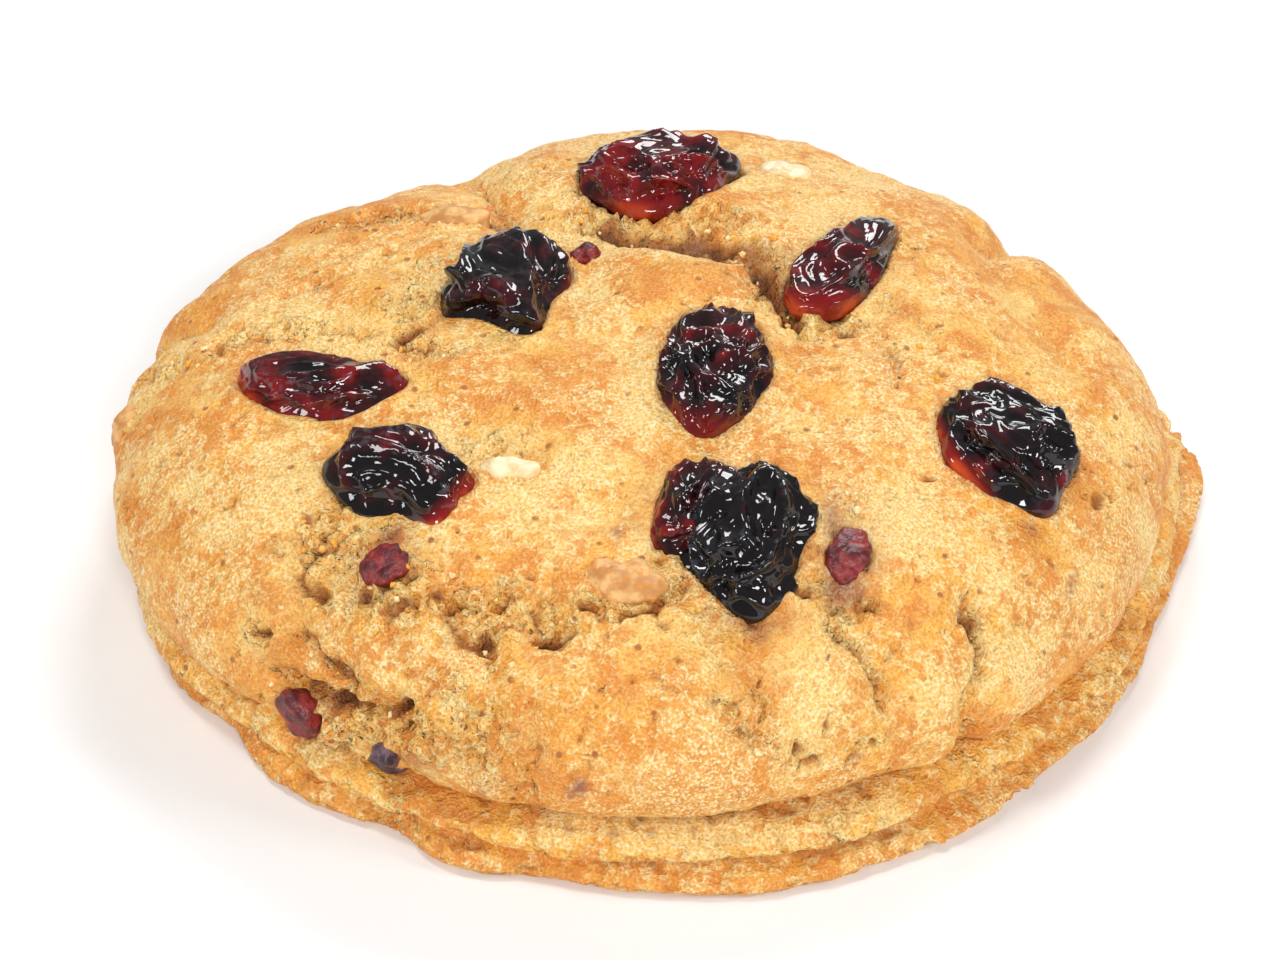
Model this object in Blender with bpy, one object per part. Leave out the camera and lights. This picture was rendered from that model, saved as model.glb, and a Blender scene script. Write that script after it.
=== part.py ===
"""Cranberry pecan cookie: a tall, lumpy round of dough that bulges over its own foot.

Dried cranberries, pecan pieces and pale chips sit in seats in the top of the dough.
Metres, +Z up. The flat underside lies on z = 0 and the front of the cookie is towards -Y.
Sizes below are in millimetres and angles in degrees; make_object() turns them into metres.

Places on the dough are given on its skin, unrolled: "right" and "back" are distances along
the skin from the top of the dome, towards +X and +Y.
"""
import math
from dataclasses import dataclass

import bpy
import numpy as np
from mathutils import Vector, noise

METRES_PER_MM = 0.001

# The dome
DOME_RADIUS = 44.0
CREST_HEIGHT = 24.0
BELLY_HEIGHT = 9.0
SHOULDER_POWER = 2.4
CROWN_POWER = 2.2
SKIRT_TUCK = 1.9
SKIRT_DROP = 3.3
SKIRT_LENGTH = 4.0
# Uneven outline: waves round the cookie, then their cosine and sine share of the radius
DOME_WAVES = (
    (1, 0.009, 0.016), (2, 0.015, 0.010), (3, -0.014, -0.004),
    (4, 0.018, -0.008), (5, 0.008, 0.005), (6, -0.007, 0.004),
)

# The foot: a middle tier and a bottom tier that spread out under the dome
FOOT_RADIUS = 45.2
FOOT_WAVES = (
    (1, 0.043, 0.023), (2, 0.004, 0.005), (3, -0.002, 0.022),
    (4, 0.000, 0.017), (5, 0.000, 0.011), (6, -0.007, -0.002),
)
# Places where the foot bulges or draws in: angle, half width of the place, and how far
FOOT_BULGES = ((11.0, 12.0, 1.3), (-28.0, 9.0, 0.5), (-110.5, 5.0, 1.4), (-144.0, 7.0, -0.9))
GROOVE_DEPTH = 1.6
FOLD_DEPTH = 0.9
# Places where the dome runs into the foot without a groove: angle, half width and share filled
GROOVE_FILLS = ((-134.0, 20.0, 0.85), (6.0, 16.0, 0.65), (120.0, 25.0, 0.4))
# How far the foot wanders in depth, outwards and in level
DEPTH_RIPPLE = 0.35
FOOT_RIPPLE = 0.45
LEVEL_RIPPLE = 0.5
RIPPLE_GAIN = 2.0
# How often each line of the foot wanders, and the seed of its ripple
BOTTOM_RIPPLE = (5.0, 1.3)
MIDDLE_RIPPLE = (4.0, 7.9)
GROOVE_RIPPLE = (2.0, 2.6)
FOLD_RIPPLE = (3.0, 6.1)
UPPER_RIPPLE = (3.0, 4.4)
LOWER_RIPPLE = (4.0, 9.2)
LIP_ROUNDING = 0.3
SHOULDER_ROUNDING = 0.6
UNDERSIDE_INSET = 1.4
# Height of each line round the foot, from the groove under the skirt down to the underside
GROOVE_HEIGHT = 5.3
MIDDLE_TOP_HEIGHT = 5.0
MIDDLE_LIP_HEIGHT = 4.2
MIDDLE_LOW_HEIGHT = 3.1
FOLD_HEIGHT = 2.4
BOTTOM_TOP_HEIGHT = 1.8
BOTTOM_LIP_HEIGHT = 1.1
BOTTOM_LOW_HEIGHT = 0.45

# The middle of the whole part's box is put over the origin by this shift
CENTRE_SHIFT = (-2.0, -0.5)

# Resolution
GRID_CELLS = 44
PROFILE_STEPS = 400
SLOPE_STEP = 0.1

# Coarse unevenness of the skin: size of the swells and their height
SWELLS = ((15.0, 0.75), (6.0, 0.40))
SWELL_SEED = 3.7


@dataclass(frozen=True)
class Lump:
    """A rounded rise in the skin, or a hollow if its height is negative."""
    right: float
    back: float
    half_length: float
    half_width: float
    turn: float
    height: float


LUMPS = (
    Lump(4.0, 4.5, 9.0, 7.0, 0.0, 1.1),
    Lump(-29.0, 18.0, 14.0, 9.0, 35.0, 0.7),
    Lump(-9.0, 30.0, 5.0, 9.0, 0.0, 1.0),
    Lump(12.5, 31.0, 6.0, 7.0, 0.0, -0.3),
    Lump(25.0, 24.0, 8.0, 9.0, -30.0, 0.9),
    Lump(37.0, -3.0, 8.0, 12.0, 0.0, 0.5),
    Lump(-38.0, -8.0, 8.0, 14.0, 0.0, 0.5),
    Lump(18.5, -4.5, 3.0, 3.0, 0.0, 0.8),
    Lump(-7.0, -10.0, 9.0, 7.0, 20.0, 0.6),
    Lump(2.0, -42.0, 12.0, 6.0, 0.0, 0.6),
    Lump(25.0, -30.0, 8.0, 9.0, 30.0, 0.6),
    Lump(-21.0, -36.0, 7.0, 5.0, -30.0, 0.9),
    Lump(-25.0, -28.5, 4.5, 3.0, -10.0, -0.8),
    Lump(-11.0, -33.5, 6.0, 3.0, -10.0, -0.7),
    Lump(5.0, 14.5, 5.5, 2.6, -15.0, -2.0),
    Lump(10.8, 8.0, 1.6, 3.0, 10.0, -1.3),
    Lump(-13.9, -36.0, 1.8, 1.6, 0.0, -1.5),
    Lump(-7.7, -36.0, 2.0, 1.5, 0.0, -1.4),
)


@dataclass(frozen=True)
class Crack:
    """A split or a crease that runs along the skin through a few points."""
    route: tuple
    width: float
    depth: float


CRACKS = (
    Crack(((-12.0, 20.0), (-14.5, 28.0), (-17.5, 38.0)), 2.4, 1.3),
    Crack(((31.0, 22.0), (31.5, 12.0), (36.0, 3.0)), 2.4, 1.0),
    Crack(((36.0, 27.0), (31.0, 22.0)), 2.4, 1.6),
    Crack(((-38.0, 10.0), (-48.0, 14.0)), 2.4, 1.1),
    Crack(((-34.0, -34.0), (-31.0, -37.0), (-27.0, -40.0), (-21.3, -41.0)), 1.8, 1.7),
    Crack(((-30.2, -31.3), (-28.1, -34.6), (-26.0, -37.5)), 1.7, 1.0),
    Crack(((-13.5, -37.0), (-12.4, -42.0), (-9.4, -45.0), (-11.2, -50.0)), 1.8, 0.8),
    Crack(((27.6, -30.3), (29.7, -33.3), (30.1, -38.6), (32.5, -41.5)), 1.7, 1.2),
    Crack(((16.1, -33.7), (19.6, -37.1), (21.7, -40.0)), 1.7, 0.9),
    Crack(((9.8, -40.1), (11.0, -42.5)), 1.7, 0.8),
    Crack(((-4.0, 18.5), (1.8, 12.8), (10.0, 10.0), (12.0, 2.5)), 1.8, 1.0),
)


@dataclass(frozen=True)
class Piece:
    """One fruit, nut or chip piece and the place on the skin that it sits in.

    The outline is a ring of evenly spaced radii, from the direction of the turn towards the back.
    """
    name: str
    kind: str
    right: float
    back: float
    turn: float
    rise: float
    sink: float
    seed: float
    outline: tuple


OUTLINE_RADII = 16
BIT_UNEVENNESS = 0.12
BIT_WAVE_RATE = 1.7


def bit_outline(half_length, half_width, seed):
    """Return the outline of an uneven oval."""
    radii = []
    for index in range(OUTLINE_RADII):
        around = 2.0 * math.pi * index / OUTLINE_RADII
        cosine = math.cos(around)
        sine = math.sin(around)
        oval = 1.0 / math.hypot(cosine / half_length, sine / half_width)
        uneven = noise.noise(Vector((cosine, sine, seed)) * BIT_WAVE_RATE)
        radii.append(oval * (1.0 + BIT_UNEVENNESS * uneven))
    return tuple(radii)


BERRIES = (
    Piece("cranberry_back", "red_berry", 2.0, 23.5, 6.0, 3.6, 3.2, 1.0,
          (5.9, 7.8, 5.8, 5.8, 6.0, 6.4, 7.1, 7.8, 7.1, 6.2, 6.2, 5.8, 5.0, 4.4, 4.6, 4.9)),
    Piece("cranberry_back_left", "dark_berry", -11.2, 6.5, -72.0, 3.9, 3.2, 2.0,
          (7.8, 5.4, 4.6, 5.0, 5.5, 6.2, 6.3, 6.5, 6.0, 5.8, 5.6, 5.6, 5.8, 6.1, 5.4, 6.0)),
    Piece("cranberry_pointed", "red_berry", 17.2, 10.0, 62.0, 2.6, 2.4, 3.0,
          (9.4, 6.0, 4.8, 3.9, 3.3, 3.5, 4.8, 6.9, 8.8, 6.7, 4.5, 3.4, 3.0, 3.1, 3.7, 5.4)),
    Piece("cranberry_centre", "dark_berry", 6.2, -6.1, 82.0, 3.3, 3.0, 4.0,
          (7.2, 7.5, 5.8, 4.8, 4.6, 4.8, 5.7, 6.7, 8.3, 6.9, 5.4, 4.6, 4.7, 4.7, 5.2, 6.9)),
    Piece("cranberry_left_long", "red_berry", -26.7, -4.8, -8.0, 2.4, 2.4, 5.0,
          (7.7, 4.4, 3.4, 3.0, 3.1, 3.7, 5.4, 7.9, 6.6, 5.1, 4.3, 3.7, 4.0, 4.8, 5.9, 6.6)),
    Piece("cranberry_left_front", "dark_berry", -20.0, -18.0, -22.0, 3.2, 3.0, 6.0,
          (6.6, 4.5, 3.9, 4.1, 4.1, 4.0, 5.0, 6.0, 6.9, 5.9, 5.3, 5.0, 4.5, 4.7, 6.9, 6.2)),
    Piece("cranberry_right", "dark_berry", 30.1, -12.2, -58.0, 3.4, 3.0, 7.0,
          (7.2, 5.8, 5.8, 6.4, 6.2, 6.2, 6.7, 6.7, 6.3, 6.1, 5.9, 5.4, 5.6, 5.5, 6.0, 6.3)),
    Piece("cranberry_front", "dark_berry", 8.5, -26.3, -86.0, 4.4, 3.4, 8.0,
          (7.8, 6.6, 5.7, 5.2, 5.6, 6.6, 6.4, 7.0, 6.6, 5.9, 5.7, 5.2, 5.2, 5.8, 5.8, 6.6)),
    Piece("cranberry_front_under", "red_berry", 4.8, -22.9, 70.0, 3.0, 3.0, 9.0,
          (5.5, 4.6, 4.2, 3.6, 3.4, 3.5, 4.1, 5.3, 5.5, 4.5, 3.8, 3.6, 3.4, 3.5, 4.2, 5.2)),
)
BITS = (
    Piece("cranberry_skin_left", "red_berry", -21.7, -27.7, 25.0, 0.5, 1.6, 11.0,
          bit_outline(2.4, 1.7, 11.0)),
    Piece("cranberry_skin_right", "red_berry", 17.2, -27.6, 75.0, 0.6, 1.6, 12.0,
          bit_outline(2.9, 1.7, 12.0)),
    Piece("cranberry_low_left", "red_berry", -33.3, -38.3, 60.0, 0.9, 1.8, 13.0,
          bit_outline(2.5, 1.9, 13.0)),
    Piece("cranberry_rim_left", "dark_berry", -26.3, -45.6, 40.0, 0.5, 1.6, 14.0,
          bit_outline(2.3, 1.5, 14.0)),
    Piece("cranberry_small_red", "red_berry", -5.0, 12.0, 10.0, 0.9, 1.4, 15.0,
          bit_outline(1.4, 1.2, 15.0)),
    Piece("pecan_front", "pecan", -1.2, -31.0, -14.0, 0.7, 2.0, 16.0,
          bit_outline(3.4, 1.9, 16.0)),
    Piece("pecan_back_left", "pecan", -17.2, 21.2, -10.0, 0.9, 2.0, 17.0,
          bit_outline(3.2, 1.9, 17.0)),
    Piece("pecan_left_edge", "pecan", -46.0, 1.0, 60.0, 0.7, 1.6, 18.0,
          bit_outline(2.0, 1.5, 18.0)),
    Piece("pale_chip_left", "pale_chip", -11.2, -18.9, -4.0, 0.6, 1.6, 19.0,
          bit_outline(2.5, 1.2, 19.0)),
    Piece("pale_chip_back", "pale_chip", 12.7, 28.4, 8.0, 0.7, 1.8, 20.0,
          bit_outline(2.4, 1.5, 20.0)),
)
SEAT_GAP = 0.4
# Sides and levels of a piece; levels are angles down from its top
BERRY_SIDES = 20
BERRY_LEVELS = (16, 34, 52, 69, 84, 97, 122, 152)
BIT_SIDES = 10
BIT_LEVELS = (28, 58, 88, 118, 150)
# Roundness of a piece from its top to its side: 2 is an oval, more is boxier
PIECE_POWER = 2.5
WRINKLE_SIZE = 2.6
WRINKLE_DEPTH = 0.6
# How narrow the creases between wrinkles are, and how far each piece's noise is moved by its seed
CREASE_SHARPNESS = 3.0
WRINKLE_SHIFT = (9.1, 3.3, 0.0)
# A piece that rises less than this has shallower wrinkles
FULL_WRINKLE_RISE = 3.0

# Colour, roughness
FINISHES = {
    "dough": ((0.62, 0.36, 0.13, 1.0), 0.85),
    "dark_berry": ((0.030, 0.006, 0.010, 1.0), 0.25),
    "red_berry": ((0.160, 0.010, 0.014, 1.0), 0.25),
    "pecan": ((0.36, 0.16, 0.055, 1.0), 0.60),
    "pale_chip": ((0.80, 0.66, 0.42, 1.0), 0.50),
}


def clear_scene():
    """Remove every object that the scene starts with."""
    for item in list(bpy.data.objects):
        bpy.data.objects.remove(item)


def waves(shares, angle):
    """Return the share of the radius that the waves add at each angle round the cookie."""
    total = np.zeros_like(angle)
    for count, cosine, sine in shares:
        total += cosine * np.cos(count * angle) + sine * np.sin(count * angle)
    return total


def bumps_at(bumps, angle):
    """Return the sum of soft bumps at each angle, each given as angle, half width and height."""
    total = np.zeros_like(angle)
    for middle, half_width, height in bumps:
        away = (np.degrees(angle) - middle + 180.0) % 360.0 - 180.0
        total += height * np.exp(-(away / half_width) ** 2)
    return total


def ripple(angle, rate, seed):
    """Return an uneven ripple between about -1 and 1 that closes on itself round the cookie."""
    places = zip(np.cos(angle) * rate, np.sin(angle) * rate)
    return RIPPLE_GAIN * np.array([noise.noise(Vector((x, y, seed))) for x, y in places])


def dome_rim(angle):
    """Return the dome's largest radius at each angle."""
    return DOME_RADIUS * (1.0 + waves(DOME_WAVES, angle))


def foot_rim(angle):
    """Return the bottom tier's largest radius at each angle."""
    return FOOT_RADIUS * (1.0 + waves(FOOT_WAVES, angle)) + bumps_at(FOOT_BULGES, angle)


def profile_table():
    """Return how far along the skin each step of the dome's profile lies, and the steps."""
    steps = np.linspace(0.0, math.pi / 2, PROFILE_STEPS)
    radius = DOME_RADIUS * np.sin(steps) ** (2 / SHOULDER_POWER)
    height = (CREST_HEIGHT - BELLY_HEIGHT) * np.cos(steps) ** (2 / CROWN_POWER)
    lengths = np.hypot(np.diff(radius), np.diff(height))
    return np.concatenate([[0.0], np.cumsum(lengths)]), steps


PROFILE_LENGTHS, PROFILE_ANGLES = profile_table()
BELLY_DISTANCE = PROFILE_LENGTHS[-1]
SKIRT_DISTANCE = BELLY_DISTANCE + SKIRT_LENGTH


def smooth_skin(right, back):
    """Return the smooth dome's points, without lumps and cracks, for places on its skin."""
    angle = np.arctan2(back, right)
    distance = np.hypot(right, back)
    rim = dome_rim(angle)
    step = np.interp(distance, PROFILE_LENGTHS, PROFILE_ANGLES)
    tuck = np.clip((distance - BELLY_DISTANCE) / SKIRT_LENGTH, 0.0, 1.0) * math.pi / 2
    radius = rim * np.sin(step) ** (2 / SHOULDER_POWER) - SKIRT_TUCK * (1.0 - np.cos(tuck))
    rise = (CREST_HEIGHT - BELLY_HEIGHT) * np.abs(np.cos(step)) ** (2 / CROWN_POWER)
    height = BELLY_HEIGHT + np.where(tuck > 0.0, -SKIRT_DROP * np.sin(tuck), rise)
    x = radius * np.cos(angle) + CENTRE_SHIFT[0]
    y = radius * np.sin(angle) + CENTRE_SHIFT[1]
    return np.stack([x, y, height], axis=-1)


def skin_frame(right, back):
    """Return the smooth skin's points with its directions to the right, to the back and out."""
    point = smooth_skin(right, back)
    to_right = smooth_skin(right + SLOPE_STEP, back) - smooth_skin(right - SLOPE_STEP, back)
    to_back = smooth_skin(right, back + SLOPE_STEP) - smooth_skin(right, back - SLOPE_STEP)
    outward = np.cross(to_right, to_back)
    outward /= np.linalg.norm(outward, axis=-1, keepdims=True)
    to_right /= np.linalg.norm(to_right, axis=-1, keepdims=True)
    return point, to_right, np.cross(outward, to_right), outward


def lump_relief(right, back, lump):
    """Return how far one lump lifts the skin."""
    turn = math.radians(lump.turn)
    along = (right - lump.right) * math.cos(turn) + (back - lump.back) * math.sin(turn)
    across = (back - lump.back) * math.cos(turn) - (right - lump.right) * math.sin(turn)
    return lump.height * np.exp(-(along / lump.half_length) ** 2 - (across / lump.half_width) ** 2)


def distance_to_route(right, back, route):
    """Return the distance from each place to the nearest point of a crack's route."""
    nearest = np.full_like(right, np.inf)
    for start, end in zip(route[:-1], route[1:]):
        run = np.subtract(end, start)
        share = ((right - start[0]) * run[0] + (back - start[1]) * run[1]) / np.dot(run, run)
        share = np.clip(share, 0.0, 1.0)
        gap = np.hypot(right - start[0] - share * run[0], back - start[1] - share * run[1])
        nearest = np.minimum(nearest, gap)
    return nearest


def relief(right, back):
    """Return how far the lumps, swells and cracks move the skin outwards."""
    total = np.zeros_like(right)
    for lump in LUMPS:
        total += lump_relief(right, back, lump)
    for crack in CRACKS:
        gap = distance_to_route(right, back, crack.route)
        total -= crack.depth * np.exp(-(gap / crack.width) ** 2)
    for size, height in SWELLS:
        places = zip(right / size, back / size)
        total += height * np.array([noise.noise(Vector((x, y, SWELL_SEED))) for x, y in places])
    return total


def skin(right, back):
    """Return the points of the dough's skin, with its relief."""
    point, _, _, outward = skin_frame(right, back)
    return point + outward * relief(right, back)[:, None]


def square_to_disc(a, b):
    """Spread a place in the square from -1 to 1 evenly over the disc of radius 1."""
    if a == 0.0 and b == 0.0:
        return 0.0, 0.0
    if abs(a) > abs(b):
        return a * math.cos(math.pi / 4 * b / a), a * math.sin(math.pi / 4 * b / a)
    return b * math.sin(math.pi / 4 * a / b), b * math.cos(math.pi / 4 * a / b)


def dome_grid():
    """Return the dome's points and faces, and the indices round its lower edge."""
    marks = np.linspace(-1.0, 1.0, GRID_CELLS + 1)
    places = np.array([square_to_disc(a, b) for b in marks for a in marks]) * SKIRT_DISTANCE
    points = skin(places[:, 0], places[:, 1])
    row = GRID_CELLS + 1
    faces = []
    for j in range(GRID_CELLS):
        for i in range(GRID_CELLS):
            corner = j * row + i
            faces.append((corner, corner + 1, corner + row + 1, corner + row))
    last = GRID_CELLS
    front = list(range(last))
    right = [j * row + last for j in range(last)]
    rear = [last * row + i for i in range(last, 0, -1)]
    left = [j * row for j in range(last, 0, -1)]
    return points, faces, front + right + rear + left


def foot_rings(angle):
    """Return the radius and height of each line round the foot, from the groove down."""
    rim = dome_rim(angle) - SKIRT_TUCK
    bottom = foot_rim(angle) + FOOT_RIPPLE * ripple(angle, *BOTTOM_RIPPLE)
    middle = (dome_rim(angle) + foot_rim(angle)) / 2 + FOOT_RIPPLE * ripple(angle, *MIDDLE_RIPPLE)
    open_share = 1.0 - bumps_at(GROOVE_FILLS, angle)
    groove_depth = GROOVE_DEPTH * open_share * (1.0 + DEPTH_RIPPLE * ripple(angle, *GROOVE_RIPPLE))
    groove = np.minimum(rim, middle) - groove_depth
    fold_depth = FOLD_DEPTH * (1.0 + DEPTH_RIPPLE * ripple(angle, *FOLD_RIPPLE))
    fold = np.minimum(middle, bottom) - fold_depth
    upper_shift = LEVEL_RIPPLE * ripple(angle, *UPPER_RIPPLE)
    lower_shift = LEVEL_RIPPLE * ripple(angle, *LOWER_RIPPLE)
    rings = (
        (groove, GROOVE_HEIGHT + upper_shift),
        ((groove + middle) / 2, MIDDLE_TOP_HEIGHT + upper_shift),
        (middle - LIP_ROUNDING, MIDDLE_LIP_HEIGHT + upper_shift / 2),
        (middle, MIDDLE_LOW_HEIGHT + lower_shift / 2),
        (fold, FOLD_HEIGHT + lower_shift / 2),
        (bottom - SHOULDER_ROUNDING, BOTTOM_TOP_HEIGHT + lower_shift / 2),
        (bottom, BOTTOM_LIP_HEIGHT),
        (bottom - LIP_ROUNDING, BOTTOM_LOW_HEIGHT),
        (bottom - UNDERSIDE_INSET, 0.0),
    )
    return [(radius, np.zeros_like(angle) + height) for radius, height in rings]


def dough_mesh():
    """Return the whole dough's points and faces, closed by a flat underside."""
    points, faces, loop = dome_grid()
    centre = np.array(CENTRE_SHIFT)
    edge = points[loop][:, :2] - centre
    angle = np.arctan2(edge[:, 1], edge[:, 0])
    parts = [points]
    upper = loop
    start = len(points)
    for radius, height in foot_rings(angle):
        ring = np.stack([radius * np.cos(angle), radius * np.sin(angle), height], axis=-1)
        ring[:, :2] += centre
        parts.append(ring)
        lower = list(range(start, start + len(loop)))
        for i in range(len(loop)):
            j = (i + 1) % len(loop)
            faces.append((upper[i], lower[i], lower[j], upper[j]))
        upper = lower
        start += len(loop)
    faces.append(tuple(reversed(upper)))
    return np.concatenate(parts), faces


def outline_radius(outline, around):
    """Return the radius at an angle of the smooth outline that runs through a ring of radii."""
    place = around / (2.0 * math.pi) * len(outline)
    index = math.floor(place)
    share = place - index
    before, here, there, after = (outline[(index + i) % len(outline)] for i in (-1, 0, 1, 2))
    slope = (there - before) / 2.0
    next_slope = (after - here) / 2.0
    ease = share * share * (3.0 - 2.0 * share)
    swing = share * (1.0 - share)
    return here + (there - here) * ease + swing * (slope * (1.0 - share) - next_slope * share)


def piece_point(piece, around, down, grow):
    """Return one point of a piece, in its own frame: along, across and out of the skin.

    Around and down are angles in radians, and grow is added to the radius, rise and sink.
    """
    reach = math.sin(down) ** (2.0 / PIECE_POWER)
    radius = (outline_radius(piece.outline, around) + grow) * reach
    extent = piece.rise + grow if down < math.pi / 2 else -piece.sink - grow
    height = extent * abs(math.cos(down)) ** (2.0 / PIECE_POWER)
    return Vector((radius * math.cos(around), radius * math.sin(around), height))


def piece_shape(piece, sides, levels, grow, wrinkle):
    """Return a piece's points and faces in its own frame, from its top down."""
    middle = Vector((0.0, 0.0, 0.0))
    points = [piece_point(piece, 0.0, 0.0, grow)]
    for level in levels:
        for side in range(sides):
            around = 2.0 * math.pi * side / sides
            points.append(piece_point(piece, around, math.radians(level), grow))
    points.append(piece_point(piece, 0.0, math.pi, grow))
    if wrinkle > 0.0:
        offset = Vector(WRINKLE_SHIFT) * piece.seed
        for index, point in enumerate(points):
            fold = abs(noise.noise(point / WRINKLE_SIZE + offset))
            inward = (middle - point).normalized()
            points[index] = point + inward * wrinkle * min(1.0, fold * CREASE_SHARPNESS)
    faces = [(0, 1 + side, 1 + (side + 1) % sides) for side in range(sides)]
    for ring in range(len(levels) - 1):
        top = 1 + ring * sides
        for side in range(sides):
            beside = (side + 1) % sides
            faces.append((top + side, top + sides + side, top + sides + beside, top + beside))
    last = 1 + (len(levels) - 1) * sides
    bottom = len(points) - 1
    faces += [(bottom, last + (side + 1) % sides, last + side) for side in range(sides)]
    return points, faces


def place_piece(piece, points):
    """Move a piece's points from its own frame to its place on the dough."""
    here = np.array([piece.right]), np.array([piece.back])
    point, to_right, to_back, outward = (value[0] for value in skin_frame(*here))
    point = point + outward * relief(*here)[0]
    turn = math.radians(piece.turn)
    along = to_right * math.cos(turn) + to_back * math.sin(turn)
    across = np.cross(outward, along)
    return [point + along * p.x + across * p.y + outward * p.z for p in points]


def make_object(name, points, faces, material):
    """Make one smooth-shaded object from points in millimetres."""
    mesh = bpy.data.meshes.new(name)
    mesh.from_pydata([tuple(np.array(p) * METRES_PER_MM) for p in points], [], faces)
    mesh.materials.append(material)
    mesh.validate()
    mesh.shade_smooth()
    item = bpy.data.objects.new(name, mesh)
    bpy.context.scene.collection.objects.link(item)
    return item


def make_material(name, finish):
    """Make a Principled material from one of the finishes."""
    colour, roughness = FINISHES[finish]
    material = bpy.data.materials.new(name)
    material.use_nodes = True
    shader = material.node_tree.nodes["Principled BSDF"]
    shader.inputs["Base Color"].default_value = colour
    shader.inputs["Roughness"].default_value = roughness
    shader.inputs["Metallic"].default_value = 0.0
    material.diffuse_color = colour
    return material


def make_piece(piece, sides, levels):
    """Make one piece with its wrinkles, and the larger smooth shape that cuts its seat."""
    depth = WRINKLE_DEPTH * min(1.0, piece.rise / FULL_WRINKLE_RISE)
    points, faces = piece_shape(piece, sides, levels, 0.0, depth)
    material = make_material(piece.name, piece.kind)
    item = make_object(piece.name, place_piece(piece, points), faces, material)
    points, faces = piece_shape(piece, sides, levels, SEAT_GAP, 0.0)
    cutter = make_object("seat_" + piece.name, place_piece(piece, points), faces, material)
    cutter.hide_render = True
    cutter.display_type = "WIRE"
    return item, cutter


def cut_seat(body, cutter):
    """Cut a seat in a body with a Boolean modifier."""
    cut = body.modifiers.new(cutter.name, "BOOLEAN")
    cut.operation = "DIFFERENCE"
    cut.solver = "EXACT"
    cut.object = cutter


def build():
    """Make the dough, the pieces and their seats."""
    clear_scene()
    points, faces = dough_mesh()
    dough = make_object("dough", points, faces, make_material("dough", "dough"))
    made = {}
    for piece in BERRIES:
        made[piece.name] = make_piece(piece, BERRY_SIDES, BERRY_LEVELS)
    for piece in BITS:
        made[piece.name] = make_piece(piece, BIT_SIDES, BIT_LEVELS)
    for item, cutter in made.values():
        cut_seat(dough, cutter)
    cut_seat(made["cranberry_front_under"][0], made["cranberry_front"][1])


build()
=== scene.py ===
"""Looks of the cranberry pecan cookie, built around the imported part.

The dough and the pieces are made again here by the part's own rules, with far more points, so
that crumb, cracks and wrinkles are real shape. Sizes are in millimetres and angles in degrees;
make_object() turns them into metres. Places on the dough are given on its skin, unrolled:
"right" and "back" are distances along the skin from the top of the dome, towards +X and +Y.
"""

import math
from dataclasses import dataclass

import bmesh
import bpy
import numpy as np
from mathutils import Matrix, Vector, noise


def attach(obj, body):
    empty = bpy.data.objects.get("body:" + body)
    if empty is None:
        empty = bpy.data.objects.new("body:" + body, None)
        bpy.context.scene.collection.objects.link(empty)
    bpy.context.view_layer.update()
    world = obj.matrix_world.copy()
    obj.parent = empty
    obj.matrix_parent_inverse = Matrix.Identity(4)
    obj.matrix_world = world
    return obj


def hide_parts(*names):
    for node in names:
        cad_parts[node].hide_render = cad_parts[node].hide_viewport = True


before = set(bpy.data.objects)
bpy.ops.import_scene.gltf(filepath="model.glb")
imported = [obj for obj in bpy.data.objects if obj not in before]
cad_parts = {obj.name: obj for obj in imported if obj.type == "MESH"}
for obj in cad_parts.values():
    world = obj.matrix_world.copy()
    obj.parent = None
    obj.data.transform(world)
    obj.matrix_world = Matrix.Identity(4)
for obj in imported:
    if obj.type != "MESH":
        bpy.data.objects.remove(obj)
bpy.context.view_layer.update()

METRES_PER_MM = 0.001

# Seeds. Vector noise starts from the clock unless it is given one
VECTOR_NOISE_SEED = 4
SMALL_PIT_SEED = 5
LOOSE_CRUMB_SEED = 11
noise.seed_set(VECTOR_NOISE_SEED)

# Camera, from the photo: height angle above the table, distance, and the point it looks at
CAMERA_ELEVATION = 37.0
CAMERA_DISTANCE = 450.0
CAMERA_LENS = 147.7
CAMERA_SENSOR = 36.0
CAMERA_TARGET = (-2.075, -0.48, 8.0)

# Lights: place in metres, side of the square in metres, and power in watts
LIGHTS = {
    "front": ((0.05, -0.60, 0.40), 0.18, 2.6),
    "back": ((0.15, 0.55, 0.50), 0.26, 2.8),
    "overhead": ((-0.25, 0.05, 0.80), 0.18, 1.9),
    "left": ((-0.62, -0.25, 0.38), 0.16, 1.1),
    "right": ((0.65, -0.20, 0.40), 0.16, 1.6),
}
WORLD_STRENGTH = 0.22
FLOOR_COLOUR = (0.92, 0.92, 0.92, 1.0)
FLOOR_REACH = 3.0

# The dome
DOME_RADIUS = 44.0
CREST_HEIGHT = 24.0
BELLY_HEIGHT = 9.0
SHOULDER_POWER = 2.4
CROWN_POWER = 2.2
SKIRT_TUCK = 1.9
SKIRT_DROP = 3.3
SKIRT_LENGTH = 4.0
DOME_WAVES = (
    (1, 0.009, 0.016), (2, 0.015, 0.010), (3, -0.014, -0.004),
    (4, 0.018, -0.008), (5, 0.008, 0.005), (6, -0.007, 0.004),
)

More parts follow.
